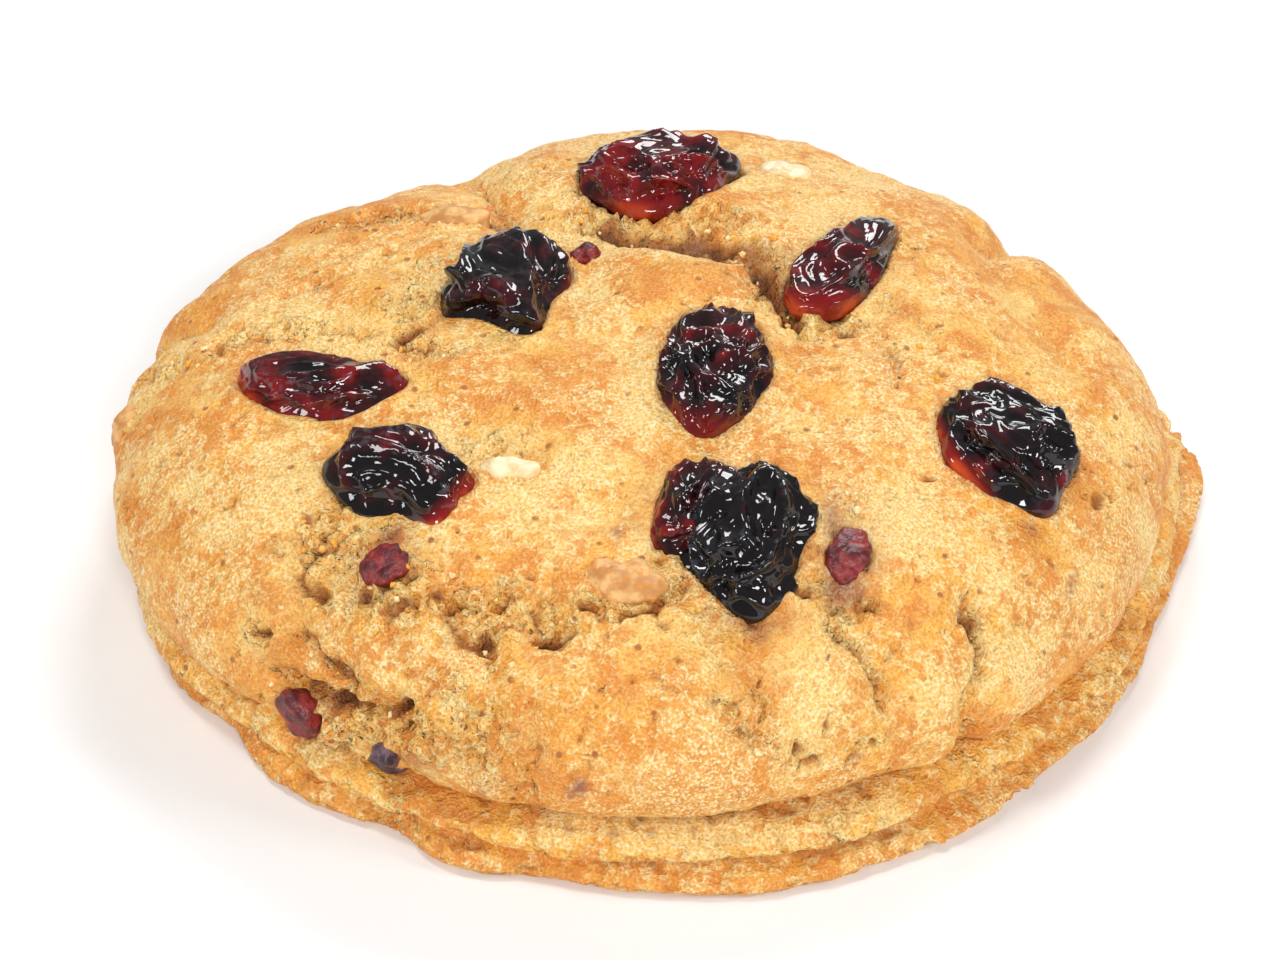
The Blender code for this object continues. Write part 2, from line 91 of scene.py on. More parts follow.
# The foot
FOOT_RADIUS = 45.2
FOOT_WAVES = (
    (1, 0.043, 0.023), (2, 0.004, 0.005), (3, -0.002, 0.022),
    (4, 0.000, 0.017), (5, 0.000, 0.011), (6, -0.007, -0.002),
)
FOOT_BULGES = ((11.0, 12.0, 1.3), (-28.0, 9.0, 0.5), (-110.5, 5.0, 1.4), (-144.0, 7.0, -0.9))
GROOVE_DEPTH = 1.6
FOLD_DEPTH = 0.9
GROOVE_FILLS = ((-134.0, 20.0, 0.85), (6.0, 16.0, 0.65), (120.0, 25.0, 0.4))
DEPTH_RIPPLE = 0.35
FOOT_RIPPLE = 0.45
LEVEL_RIPPLE = 0.5
RIPPLE_GAIN = 2.0
BOTTOM_RIPPLE = (5.0, 1.3)
MIDDLE_RIPPLE = (4.0, 7.9)
GROOVE_RIPPLE = (2.0, 2.6)
FOLD_RIPPLE = (3.0, 6.1)
UPPER_RIPPLE = (3.0, 4.4)
LOWER_RIPPLE = (4.0, 9.2)
LIP_ROUNDING = 0.3
SHOULDER_ROUNDING = 0.6
UNDERSIDE_INSET = 1.4
GROOVE_HEIGHT = 5.3
MIDDLE_TOP_HEIGHT = 5.0
MIDDLE_LIP_HEIGHT = 4.2
MIDDLE_LOW_HEIGHT = 3.1
FOLD_HEIGHT = 2.4
BOTTOM_TOP_HEIGHT = 1.8
BOTTOM_LIP_HEIGHT = 1.1
BOTTOM_LOW_HEIGHT = 0.45
CENTRE_SHIFT = (-2.0, -0.5)

# Resolution
GRID_CELLS = 250
FOOT_LINES = 26
UNDERSIDE_SHARES = (0.985, 0.95, 0.88, 0.78, 0.65, 0.50, 0.32, 0.14)
PROFILE_STEPS = 400
SLOPE_STEP = 0.1
BERRY_FINENESS = 6
BIT_FINENESS = 5

SWELLS = ((15.0, 0.75), (6.0, 0.40))
SWELL_SEED = 3.7


@dataclass(frozen=True)
class Patch:
    """A soft-edged oval on the skin: a rise, a hollow, a tone or a crumbly place."""
    right: float
    back: float
    half_length: float
    half_width: float
    strength: float
    turn: float = 0.0


LUMPS = (
    Patch(4, 4.5, 9, 7, 1.1), Patch(-29, 18, 14, 9, 0.7, 35), Patch(-9, 30, 5, 9, 1),
    Patch(12.5, 31, 6, 7, -0.3), Patch(25, 24, 8, 9, 0.9, -30), Patch(37, -3, 8, 12, 0.5),
    Patch(-38, -8, 8, 14, 0.5), Patch(18.5, -4.5, 3, 3, 0.8), Patch(-7, -10, 9, 7, 0.6, 20),
    Patch(2, -42, 12, 6, 0.6), Patch(25, -30, 8, 9, 0.6, 30), Patch(-21, -36, 7, 5, 0.9, -30),
    Patch(-25, -28.5, 4.5, 3, -0.8, -10), Patch(-11, -33.5, 6, 3, -0.7, -10),
    Patch(5, 14.5, 5.5, 2.6, -2, -15), Patch(10.8, 8, 1.6, 3, -1.3, 10),
    Patch(-13.9, -36, 1.8, 1.6, -1.5), Patch(-7.7, -36, 2, 1.5, -1.4),
)


@dataclass(frozen=True)
class Crack:
    """A valley in the skin, and the narrow split that runs along its bottom."""
    route: tuple
    width: float
    depth: float
    split_width: float
    split_depth: float


CRACKS = (
    Crack(((-12, 20), (-14.5, 28), (-17.5, 38)), 2.4, 1.3, 0.4, 0.5),
    Crack(((31, 22), (31.5, 12), (36, 3)), 2.4, 1, 0.3, 0.2),
    Crack(((36, 27), (31, 22)), 2.4, 1.6, 0.4, 0.4),
    Crack(((-38, 10), (-48, 14)), 2.4, 1.1, 0.3, 0.3),
    Crack(((-34, -34), (-31, -37), (-27, -40), (-21.3, -41)), 1.8, 1.7, 0.5, 1.2),
    Crack(((-30.2, -31.3), (-28.1, -34.6), (-26, -37.5)), 1.7, 1, 0.4, 0.9),
    Crack(((-13.5, -37), (-12.4, -42), (-9.4, -45), (-11.2, -50)), 1.8, 0.8, 0.45, 0.5),
    Crack(((27.6, -30.3), (29.7, -33.3), (30.1, -38.6), (32.5, -41.5)), 1.7, 1.2, 0.35, 0.5),
    Crack(((16.1, -33.7), (19.6, -37.1), (21.7, -40)), 1.7, 0.9, 0.25, 0.7),
    Crack(((9.8, -40.1), (11, -42.5)), 1.7, 0.8, 0.25, 0.7),
    Crack(((-4, 18.5), (1.8, 12.8), (10, 10), (12, 2.5)), 1.8, 1, 0.5, 0.9),
    # Too fine for the solid
    Crack(((27.8, -30.8), (28.8, -32.8), (29.9, -34.6)), 0.7, 0, 0.5, 1.7),
    Crack(((6, -41.4), (8.2, -43), (11.7, -45.2)), 0.8, 0, 0.25, 0.6),
    Crack(((-33.9, -29.4), (-32.6, -30.8)), 0.8, 0, 0.35, 0.9),
    Crack(((12.5, -31), (15.5, -31), (19.5, -32.6)), 0.8, 0.1, 0.35, 0.9),
    Crack(((-5, -32.6), (-2, -34), (1.5, -33.4), (3.4, -31)), 0.8, 0.1, 0.4, 1),
    Crack(((-36, 3.2), (-30, 4), (-22, 1.6)), 0.9, 0.1, 0.35, 0.6),
    Crack(((-20, 17), (-24, 12), (-31, 9)), 0.9, 0, 0.25, 0.4),
    Crack(((20.5, -1.5), (20.8, -6.5)), 0.8, 0.1, 0.3, 0.6),
    Crack(((-26, -22.5), (-29, -27), (-27, -30)), 0.9, 0.1, 0.4, 0.8),
    Crack(((-22, -32), (-17, -33.2), (-11, -32.2), (-6, -35)), 0.9, 0.2, 0.5, 0.9),
    Crack(((-22, -31.5), (-16.5, -34.5), (-12, -39)), 0.9, 0.1, 0.35, 0.7),
    Crack(((-17.5, 3), (-20.5, 0), (-15, -2)), 0.9, 0.2, 0.4, 0.8),
    Crack(((-29.5, 22), (-23, 23.5), (-14, 20.5)), 1, 0.3, 0.4, 0.7),
)

# Named pits: place, radius and depth
PITS = (
    (-13.9, -36, 0.9, 1), (-7.7, -35.9, 1, 1), (-27.7, -28.3, 0.9, 1.2),
    (-27.9, -21.4, 0.6, 0.9), (42, -7.5, 0.6, 0.9), (44.3, -7.1, 0.6, 0.9),
    (38.7, -14.2, 0.6, 0.9), (40, -13.1, 0.5, 0.8), (37.1, -11, 0.4, 0.7),
    (14.2, -44.6, 0.6, 1), (15.4, -46.2, 0.5, 1), (20, -45.6, 0.7, 1.1),
    (20.8, -43.5, 0.5, 1), (16.3, -42.8, 0.4, 0.8), (32.6, -29.4, 0.4, 0.7),
    (10, 10, 1, 1.6), (11.1, 5.4, 0.9, 1.5), (12.3, 1.8, 0.8, 1.2),
    (1.8, 12.8, 1, 1.5), (6.6, 13.4, 1.1, 1.7), (-2.9, 17.7, 1, 1.2),
    (16.6, 0.9, 0.8, 1.1), (-19.1, 1, 0.9, 1.2), (24, -17.2, 0.5, 0.9),
    (-28.6, -39.2, 1, 2), (-22.8, -41, 0.7, 1.2), (-24, -30, 0.8, 1),
    (-17.5, -31.5, 0.8, 1.1), (-20, -29.8, 0.6, 0.8), (-36, 4.5, 0.7, 0.8),
)
SMALL_PITS = 420
SMALL_PIT_RADIUS = (0.20, 0.50)
SMALL_PIT_DEPTH = (0.25, 0.75)

# Places where the crust is broken and the crumb shows
CRUMBLY = (
    Patch(-26, -24, 5, 4, 0.9), Patch(-20.5, -31, 7, 3.5, 1, -10), Patch(-11, -34, 7, 3, 1, -5),
    Patch(-14, -43, 5, 6, 0.8), Patch(-27, -39.5, 7.5, 2.5, 1, -25), Patch(4.5, 14.5, 8, 3.5, 1, -15),
    Patch(11, 6, 3, 5, 1), Patch(14.5, 1, 4, 2.5, 0.8), Patch(1.5, 18, 8.5, 2.5, 0.9),
    Patch(-19, 6, 2.5, 6, 0.9), Patch(-16.5, -1.5, 4, 2.5, 0.9, -20), Patch(-12, -16.5, 5, 3.5, 0.7),
    Patch(15.5, -44.5, 6, 3, 0.5), Patch(24.5, -15, 4, 2.5, 0.5, -40), Patch(17.5, -25, 3, 6, 0.5),
    Patch(30, -36, 2, 5, 0.5), Patch(8, -36, 8, 2.5, 0.4), Patch(-2, -25, 3, 6, 0.4),
    Patch(-4, 22, 5, 6, 0.6), Patch(22, 3, 5, 6, 0.5), Patch(-32, 4, 8, 2, 0.8),
    Patch(-33, -41, 4, 3, 0.8), Patch(-22, -44, 9, 3.5, 0.7, -20), Patch(-44, 6, 4, 5, 0.6),
    Patch(22, 14, 4, 5, 0.3), Patch(-22, 22, 8, 2.5, 0.8),
)
# Places that baked darker, and pale places: pale crumb, and a painted sheen low on the front
BROWNED = (
    Patch(-30, 16, 13, 8, 0.7, 30), Patch(-42, -16, 7, 18, 0.8), Patch(32, 14, 9, 12, 0.4),
    Patch(40, -20, 7, 16, 0.9, 20), Patch(45, 0, 5, 16, 0.8), Patch(-36, -34, 4, 12, 0.7, 45),
    Patch(2, -49, 32, 4.5, 1.4), Patch(-7, -8, 7, 6, 0.7), Patch(12, -15, 7, 3, 0.8, 20),
    Patch(18.5, -4.5, 3.5, 3.5, 0.8), Patch(4, 8, 6, 4, 0.6), Patch(-10, 33, 5, 6, 0.5),
    Patch(16, -19.5, 3.5, 1.8, 1), Patch(-31, -30, 5, 6, 0.7), Patch(-2, 4, 5, 4, 0.6),
    Patch(-18, 21, 5, 1.8, 0.9), Patch(4, -40, 18, 4, 0.5), Patch(-28, -34, 5, 3, 0.5, 40),
)
PALE_AND_SHEEN = (
    Patch(-11, -17, 6, 4, 0.9), Patch(-2, -17, 4, 8, 0.4), Patch(20, 5, 5, 6, 0.9),
    Patch(-19, 4, 3, 7, 0.9), Patch(-5, 20, 6, 6, 0.6), Patch(-44, 4, 4, 4, 0.6),
    Patch(-9.4, -46, 1.5, 3.5, 1, 15), Patch(18, -25, 3, 6, 0.7), Patch(-26, -24, 5, 3.5, 0.7),
    # The last patch on the next line, low on the front, is a painted sheen
    Patch(12, 28, 6, 4, 0.7), Patch(32, 8, 2, 9, 0.6, 20), Patch(12, -38, 7, 4, 0.9),
    Patch(26, -24, 4, 4, 0.4), Patch(-16, -2, 5, 2.5, 0.9, -15), Patch(-10, -29, 8, 4, 0.4, -15),
    Patch(-26, 4, 9, 2, 0.6), Patch(14, 1, 4, 3, 0.6), Patch(7, -12.5, 3, 2, 0.6),
)
# Purple and red juice marks in the dough
STAINS = (
    Patch(-15.6, -49.5, 0.9, 0.6, 1, 20), Patch(-5.5, -48.8, 0.8, 0.6, 1),
    Patch(36.9, -24.1, 0.5, 0.9, 0.9), Patch(-21, -24.8, 1.6, 1, 0.7), Patch(17, -30.5, 1.8, 1.2, 0.6),
    Patch(9, -34.6, 3.5, 0.8, 0.6), Patch(-1.5, -25.5, 0.7, 0.7, 0.7), Patch(33, -20, 1.2, 0.6, 0.6, -30),
    Patch(-13.5, 20.5, 2.2, 0.9, 0.5, -15), Patch(-22.5, 20.5, 2.4, 0.7, 0.4, 10),
    Patch(16.2, -24, 1.2, 2.4, 0.6, 15), Patch(-22.5, -45.5, 3, 1, 0.4, -20),
    Patch(17.2, -27.6, 3.4, 2.2, 0.6, 75), Patch(-21.7, -27.7, 3, 2.2, 0.5, 25),
)

# Places that lie in the shade of a hollow, so darker than their depth alone makes them
HOLLOWS = (
    Patch(4.5, 14.2, 6, 1.8, 1.2, -15), Patch(11, 7, 1.6, 4.5, 1.1, 10), Patch(-4, 17.8, 2.5, 1, 0.4),
    Patch(-28.5, -39.3, 2.2, 1, 0.8, -20), Patch(-31, -37, 2, 0.8, 0.5, -60),
    Patch(-13.9, -36, 1.4, 0.9, 0.5), Patch(-7.7, -35.9, 1.6, 0.8, 0.5),
    Patch(28.6, -32.8, 0.7, 2.4, 1, 25),
)


@dataclass(frozen=True)
class Piece:
    """One fruit, nut or chip piece and the place on the skin that it sits in.

    The outline is a ring of evenly spaced radii, from the direction of the turn towards the back.
    """
    name: str
    kind: str
    right: float
    back: float
    turn: float
    rise: float
    sink: float
    seed: float
    outline: tuple


OUTLINE_RADII = 16
BIT_UNEVENNESS = 0.12
BIT_WAVE_RATE = 1.7
PIECE_POWER = 2.5


def bit(name, kind, right, back, turn, rise, sink, seed, half_length, half_width):
    """Return a small piece whose outline is an uneven oval."""
    radii = []
    for index in range(OUTLINE_RADII):
        around = 2.0 * math.pi * index / OUTLINE_RADII
        cosine = math.cos(around)
        sine = math.sin(around)
        oval = 1.0 / math.hypot(cosine / half_length, sine / half_width)
        uneven = noise.noise(Vector((cosine, sine, seed)) * BIT_WAVE_RATE)
        radii.append(oval * (1.0 + BIT_UNEVENNESS * uneven))
    return Piece(name, kind, right, back, turn, rise, sink, seed, tuple(radii))


BERRIES = (
    Piece("cranberry_back", "red_berry", 2.0, 23.5, 6.0, 3.6, 3.2, 1.0,
          (5.9, 7.8, 5.8, 5.8, 6.0, 6.4, 7.1, 7.8, 7.1, 6.2, 6.2, 5.8, 5.0, 4.4, 4.6, 4.9)),
    Piece("cranberry_back_left", "dark_berry", -11.2, 6.5, -72.0, 3.9, 3.2, 2.0,
          (7.8, 5.4, 4.6, 5.0, 5.5, 6.2, 6.3, 6.5, 6.0, 5.8, 5.6, 5.6, 5.8, 6.1, 5.4, 6.0)),
    Piece("cranberry_pointed", "red_berry", 17.2, 10.0, 62.0, 2.6, 2.4, 3.0,
          (9.4, 6.0, 4.8, 3.9, 3.3, 3.5, 4.8, 6.9, 8.8, 6.7, 4.5, 3.4, 3.0, 3.1, 3.7, 5.4)),
    Piece("cranberry_centre", "dark_berry", 6.2, -6.1, 82.0, 3.3, 3.0, 4.0,
          (7.2, 7.5, 5.8, 4.8, 4.6, 4.8, 5.7, 6.7, 8.3, 6.9, 5.4, 4.6, 4.7, 4.7, 5.2, 6.9)),
    Piece("cranberry_left_long", "red_berry", -26.7, -4.8, -8.0, 2.4, 2.4, 5.0,
          (7.7, 4.4, 3.4, 3.0, 3.1, 3.7, 5.4, 7.9, 6.6, 5.1, 4.3, 3.7, 4.0, 4.8, 5.9, 6.6)),
    Piece("cranberry_left_front", "dark_berry", -20.0, -18.0, -22.0, 3.2, 3.0, 6.0,
          (6.6, 4.5, 3.9, 4.1, 4.1, 4.0, 5.0, 6.0, 6.9, 5.9, 5.3, 5.0, 4.5, 4.7, 6.9, 6.2)),
    Piece("cranberry_right", "dark_berry", 30.1, -12.2, -58.0, 3.4, 3.0, 7.0,
          (7.2, 5.8, 5.8, 6.4, 6.2, 6.2, 6.7, 6.7, 6.3, 6.1, 5.9, 5.4, 5.6, 5.5, 6.0, 6.3)),
    Piece("cranberry_front", "dark_berry", 8.5, -26.3, -86.0, 4.4, 3.4, 8.0,
          (7.8, 6.6, 5.7, 5.2, 5.6, 6.6, 6.4, 7.0, 6.6, 5.9, 5.7, 5.2, 5.2, 5.8, 5.8, 6.6)),
    Piece("cranberry_front_under", "red_berry", 4.8, -22.9, 70.0, 3.0, 3.0, 9.0,
          (5.5, 4.6, 4.2, 3.6, 3.4, 3.5, 4.1, 5.3, 5.5, 4.5, 3.8, 3.6, 3.4, 3.5, 4.2, 5.2)),
)
BITS = (
    bit("cranberry_skin_left", "red_berry", -21.7, -27.7, 25.0, 0.5, 1.6, 11.0, 2.4, 1.7),
    bit("cranberry_skin_right", "red_berry", 17.2, -27.6, 75.0, 0.6, 1.6, 12.0, 2.9, 1.7),
    bit("cranberry_low_left", "red_berry", -33.3, -38.3, 60.0, 0.9, 1.8, 13.0, 2.5, 1.9),
    bit("cranberry_rim_left", "dark_berry", -26.3, -45.6, 40.0, 0.5, 1.6, 14.0, 2.3, 1.5),
    bit("cranberry_small_red", "red_berry", -5.0, 12.0, 10.0, 0.9, 1.4, 15.0, 1.4, 1.2),
    bit("pecan_front", "pecan", -1.2, -31.0, -14.0, 0.7, 2.0, 16.0, 3.4, 1.9),
    bit("pecan_back_left", "pecan", -17.2, 21.2, -10.0, 0.9, 2.0, 17.0, 3.2, 1.9),
    bit("pecan_left_edge", "pecan", -46.0, 1.0, 60.0, 0.7, 1.6, 18.0, 2.0, 1.5),
    bit("pale_chip_left", "pale_chip", -11.2, -18.9, -4.0, 0.6, 1.6, 19.0, 2.5, 1.2),
    bit("pale_chip_back", "pale_chip", 12.7, 28.4, 8.0, 0.7, 1.8, 20.0, 2.4, 1.5),
)


@dataclass(frozen=True)
class Look:
    """How one berry is wrinkled, and where light glows through it.

    Lean is the direction of its folds on the skin, and stretch how much longer than wide they
    are. The glow spreads from the side that its angle names; redness is the colour elsewhere.
    Bloom and sheen is how much grey-blue film lies on the fold tops, partly a painted sheen.
    """
    fold_size: float
    fold_depth: float
    lean: float
    stretch: float
    glow_angle: float
    glow: float
    redness: float
    bloom_and_sheen: float


LOOKS = {
    "cranberry_back": Look(3.2, 1.4, -10.0, 1.6, -110.0, 0.55, 0.55, 0.2),
    "cranberry_back_left": Look(3.2, 1.6, -65.0, 2.6, 0.0, 0.6, 0.0, 0.1),
    "cranberry_pointed": Look(2.8, 1.2, 60.0, 2.2, -95.0, 0.55, 0.40, 0.0),
    "cranberry_centre": Look(2.7, 1.3, 80.0, 1.3, -110.0, 0.4, 0.25, 0.0),
    "cranberry_left_long": Look(3.2, 1.2, -8.0, 2.4, 180.0, 0.7, 0.50, 0.3),
    "cranberry_left_front": Look(4.2, 1.3, -20.0, 1.6, -35.0, 0.6, 0.05, 0.4),
    "cranberry_right": Look(3.4, 1.5, -35.0, 2.0, -150.0, 0.9, 0.05, 0.1),
    "cranberry_front": Look(3.4, 1.6, 80.0, 1.6, -100.0, 0.0, -0.3, 0.3),
    "cranberry_front_under": Look(2.8, 1.2, 70.0, 1.4, 160.0, 0.5, 0.40, 0.0),
}

# How far splits and pits stray from where they are set: size of the bends, reach and seed
WANDER = ((3.0, 1.1, 4.0), (1.1, 0.55, 9.0))
# Depth of the seats that hide under the pieces, and height of the lips round them
BERRY_SEAT_DEPTH = 2.2
BERRY_LIP_HEIGHT = 0.25
BIT_SEAT_DEPTH = 0.7
BIT_LIP_HEIGHT = 0.30
# Height of the lip of a split, as a share of its depth
SPLIT_LIP_SHARE = 0.25

# Height of each layer of relief by its size, on whole crust and where the crust is broken
CRUST_RELIEF = ((3.4, 0.26), (1.6, 0.12), (0.9, 0.07))
CRUMB_RELIEF = ((3.0, 0.75), (1.6, 0.80), (0.9, 0.55))
LOOSE_CRUMBS = 140
LOOSE_CRUMB_SIZE = (0.12, 0.32)
LOOSE_CRUMB_LIFT = (-0.35, 0.10)


def waves(shares, angle):
    """Return the share of the radius that the waves add at each angle round the cookie."""
    total = np.zeros_like(angle)
    for count, cosine, sine in shares:
        total += cosine * np.cos(count * angle) + sine * np.sin(count * angle)
    return total


def bumps_at(bumps, angle):
    """Return the sum of soft bumps at each angle, each given as angle, half width and height."""
    total = np.zeros_like(angle)
    for middle, half_width, height in bumps:
        away = (np.degrees(angle) - middle + 180.0) % 360.0 - 180.0
        total += height * np.exp(-(away / half_width) ** 2)
    return total


def noise_at(points, size, seed=0.0):
    """Return smooth noise between about -1 and 1 at points, with features of one size."""
    scaled = np.asarray(points) / size + seed
    return np.array([noise.noise(place) for place in scaled.tolist()])


def noise_vectors_at(points, size, seed=0.0):
    """Return a smooth noise vector at each point."""
    scaled = np.asarray(points) / size + seed
    return np.array([tuple(noise.noise_vector(place)) for place in scaled.tolist()])


def ripple(angle, rate, seed):
    """Return an uneven ripple between about -1 and 1 that closes on itself round the cookie."""
    places = zip(np.cos(angle) * rate, np.sin(angle) * rate)
    return RIPPLE_GAIN * np.array([noise.noise((x, y, seed)) for x, y in places])


def dome_rim(angle):
    """Return the dome's largest radius at each angle."""
    return DOME_RADIUS * (1.0 + waves(DOME_WAVES, angle))


def foot_rim(angle):
    """Return the bottom tier's largest radius at each angle."""
    return FOOT_RADIUS * (1.0 + waves(FOOT_WAVES, angle)) + bumps_at(FOOT_BULGES, angle)


def profile_table():
    """Return how far along the skin each step of the dome's profile lies, and the steps."""
    steps = np.linspace(0.0, math.pi / 2, PROFILE_STEPS)
    radius = DOME_RADIUS * np.sin(steps) ** (2 / SHOULDER_POWER)
    height = (CREST_HEIGHT - BELLY_HEIGHT) * np.cos(steps) ** (2 / CROWN_POWER)
    lengths = np.hypot(np.diff(radius), np.diff(height))
    return np.concatenate([[0.0], np.cumsum(lengths)]), steps


PROFILE_LENGTHS, PROFILE_ANGLES = profile_table()
BELLY_DISTANCE = PROFILE_LENGTHS[-1]
SKIRT_DISTANCE = BELLY_DISTANCE + SKIRT_LENGTH


def smooth_skin(right, back):
    """Return the smooth dome's points, without lumps and cracks, for places on its skin."""
    angle = np.arctan2(back, right)
    distance = np.hypot(right, back)
    rim = dome_rim(angle)
    step = np.interp(distance, PROFILE_LENGTHS, PROFILE_ANGLES)
    tuck = np.clip((distance - BELLY_DISTANCE) / SKIRT_LENGTH, 0.0, 1.0) * math.pi / 2
    radius = rim * np.sin(step) ** (2 / SHOULDER_POWER) - SKIRT_TUCK * (1.0 - np.cos(tuck))
    rise = (CREST_HEIGHT - BELLY_HEIGHT) * np.abs(np.cos(step)) ** (2 / CROWN_POWER)
    height = BELLY_HEIGHT + np.where(tuck > 0.0, -SKIRT_DROP * np.sin(tuck), rise)
    x = radius * np.cos(angle) + CENTRE_SHIFT[0]
    y = radius * np.sin(angle) + CENTRE_SHIFT[1]
    return np.stack([x, y, height], axis=-1)


def skin_frame(right, back):
    """Return the smooth skin's points with its directions to the right, to the back and out."""
    point = smooth_skin(right, back)
    to_right = smooth_skin(right + SLOPE_STEP, back) - smooth_skin(right - SLOPE_STEP, back)
    to_back = smooth_skin(right, back + SLOPE_STEP) - smooth_skin(right, back - SLOPE_STEP)
    outward = np.cross(to_right, to_back)
    outward /= np.linalg.norm(outward, axis=-1, keepdims=True)
    to_right /= np.linalg.norm(to_right, axis=-1, keepdims=True)
    return point, to_right, np.cross(outward, to_right), outward


def patches(right, back, group):
    """Return the sum of a group of soft ovals, each its strength in the middle."""
    total = np.zeros_like(right)
    for patch in group:
        turn = math.radians(patch.turn)
        along = (right - patch.right) * math.cos(turn) + (back - patch.back) * math.sin(turn)
        across = (back - patch.back) * math.cos(turn) - (right - patch.right) * math.sin(turn)
        away = (along / patch.half_length) ** 2 + (across / patch.half_width) ** 2
        total += patch.strength * np.exp(-away)
    return total


def distance_to_route(right, back, route):
    """Return the distance from each place to the nearest point of a crack's route."""
    nearest = np.full_like(right, np.inf)
    for start, end in zip(route[:-1], route[1:]):
        run = np.subtract(end, start)
        share = ((right - start[0]) * run[0] + (back - start[1]) * run[1]) / np.dot(run, run)
        share = np.clip(share, 0.0, 1.0)
        gap = np.hypot(right - start[0] - share * run[0], back - start[1] - share * run[1])
        nearest = np.minimum(nearest, gap)
    return nearest


def form_relief(right, back):
    """Return how far lumps, swells and valleys move the skin outwards."""
    total = patches(right, back, LUMPS)
    for crack in CRACKS:
        gap = distance_to_route(right, back, crack.route)
        total = total - crack.depth * np.exp(-(gap / crack.width) ** 2)
    for size, height in SWELLS:
        places = zip(right / size, back / size)
        total = total + height * np.array([noise.noise((x, y, SWELL_SEED)) for x, y in places])
    return total


def outline_radius(outline, around):
    """Return the radius at each angle of the smooth outline that runs through a ring of radii."""
    radii = np.asarray(outline)
    place = np.asarray(around) / (2.0 * math.pi) * len(radii)
    index = np.floor(place).astype(int)
    share = place - index
    before, here, there, after = (radii[(index + step) % len(radii)] for step in (-1, 0, 1, 2))
    slope = (there - before) / 2.0
    next_slope = (after - here) / 2.0
    ease = share * share * (3.0 - 2.0 * share)
    swing = share * (1.0 - share)
    return here + (there - here) * ease + swing * (slope * (1.0 - share) - next_slope * share)


def outline_distance(right, back, piece):
    """Return how far each place lies outside a piece's outline, less than 0 inside it."""
    around = np.arctan2(back - piece.back, right - piece.right) - math.radians(piece.turn)
    reach = np.hypot(right - piece.right, back - piece.back)
    return reach - outline_radius(piece.outline, around)


def small_pits():
    """Return the seeded small pits as place, radius and depth, most of them on the front."""
    draw = np.random.default_rng(SMALL_PIT_SEED)
    pits = []
    while len(pits) < SMALL_PITS:
        right, back = draw.uniform(-SKIRT_DISTANCE, SKIRT_DISTANCE, 2)
        wanted = 0.35 + 0.65 * (back < 0.0)
        if math.hypot(right, back) < SKIRT_DISTANCE and draw.random() < wanted:
            radius = draw.uniform(*SMALL_PIT_RADIUS)
            depth = draw.uniform(*SMALL_PIT_DEPTH)
            pits.append((right, back, radius, depth))
    return tuple(pits)


def crust_relief(points):
    """Return the unevenness of whole crust."""
    total = np.zeros(len(points))
    for size, height in CRUST_RELIEF:
        total += height * noise_at(points, size, 1.5)
    return total


def crumb_relief(points):
    """Return the unevenness of broken crumb: rounded grains between sharp gaps."""
    total = np.zeros(len(points))
    for size, height in CRUMB_RELIEF:
        total += height * (np.minimum(1.0, np.abs(noise_at(points, size, 6.5)) * 2.6) - 0.75)
    return total


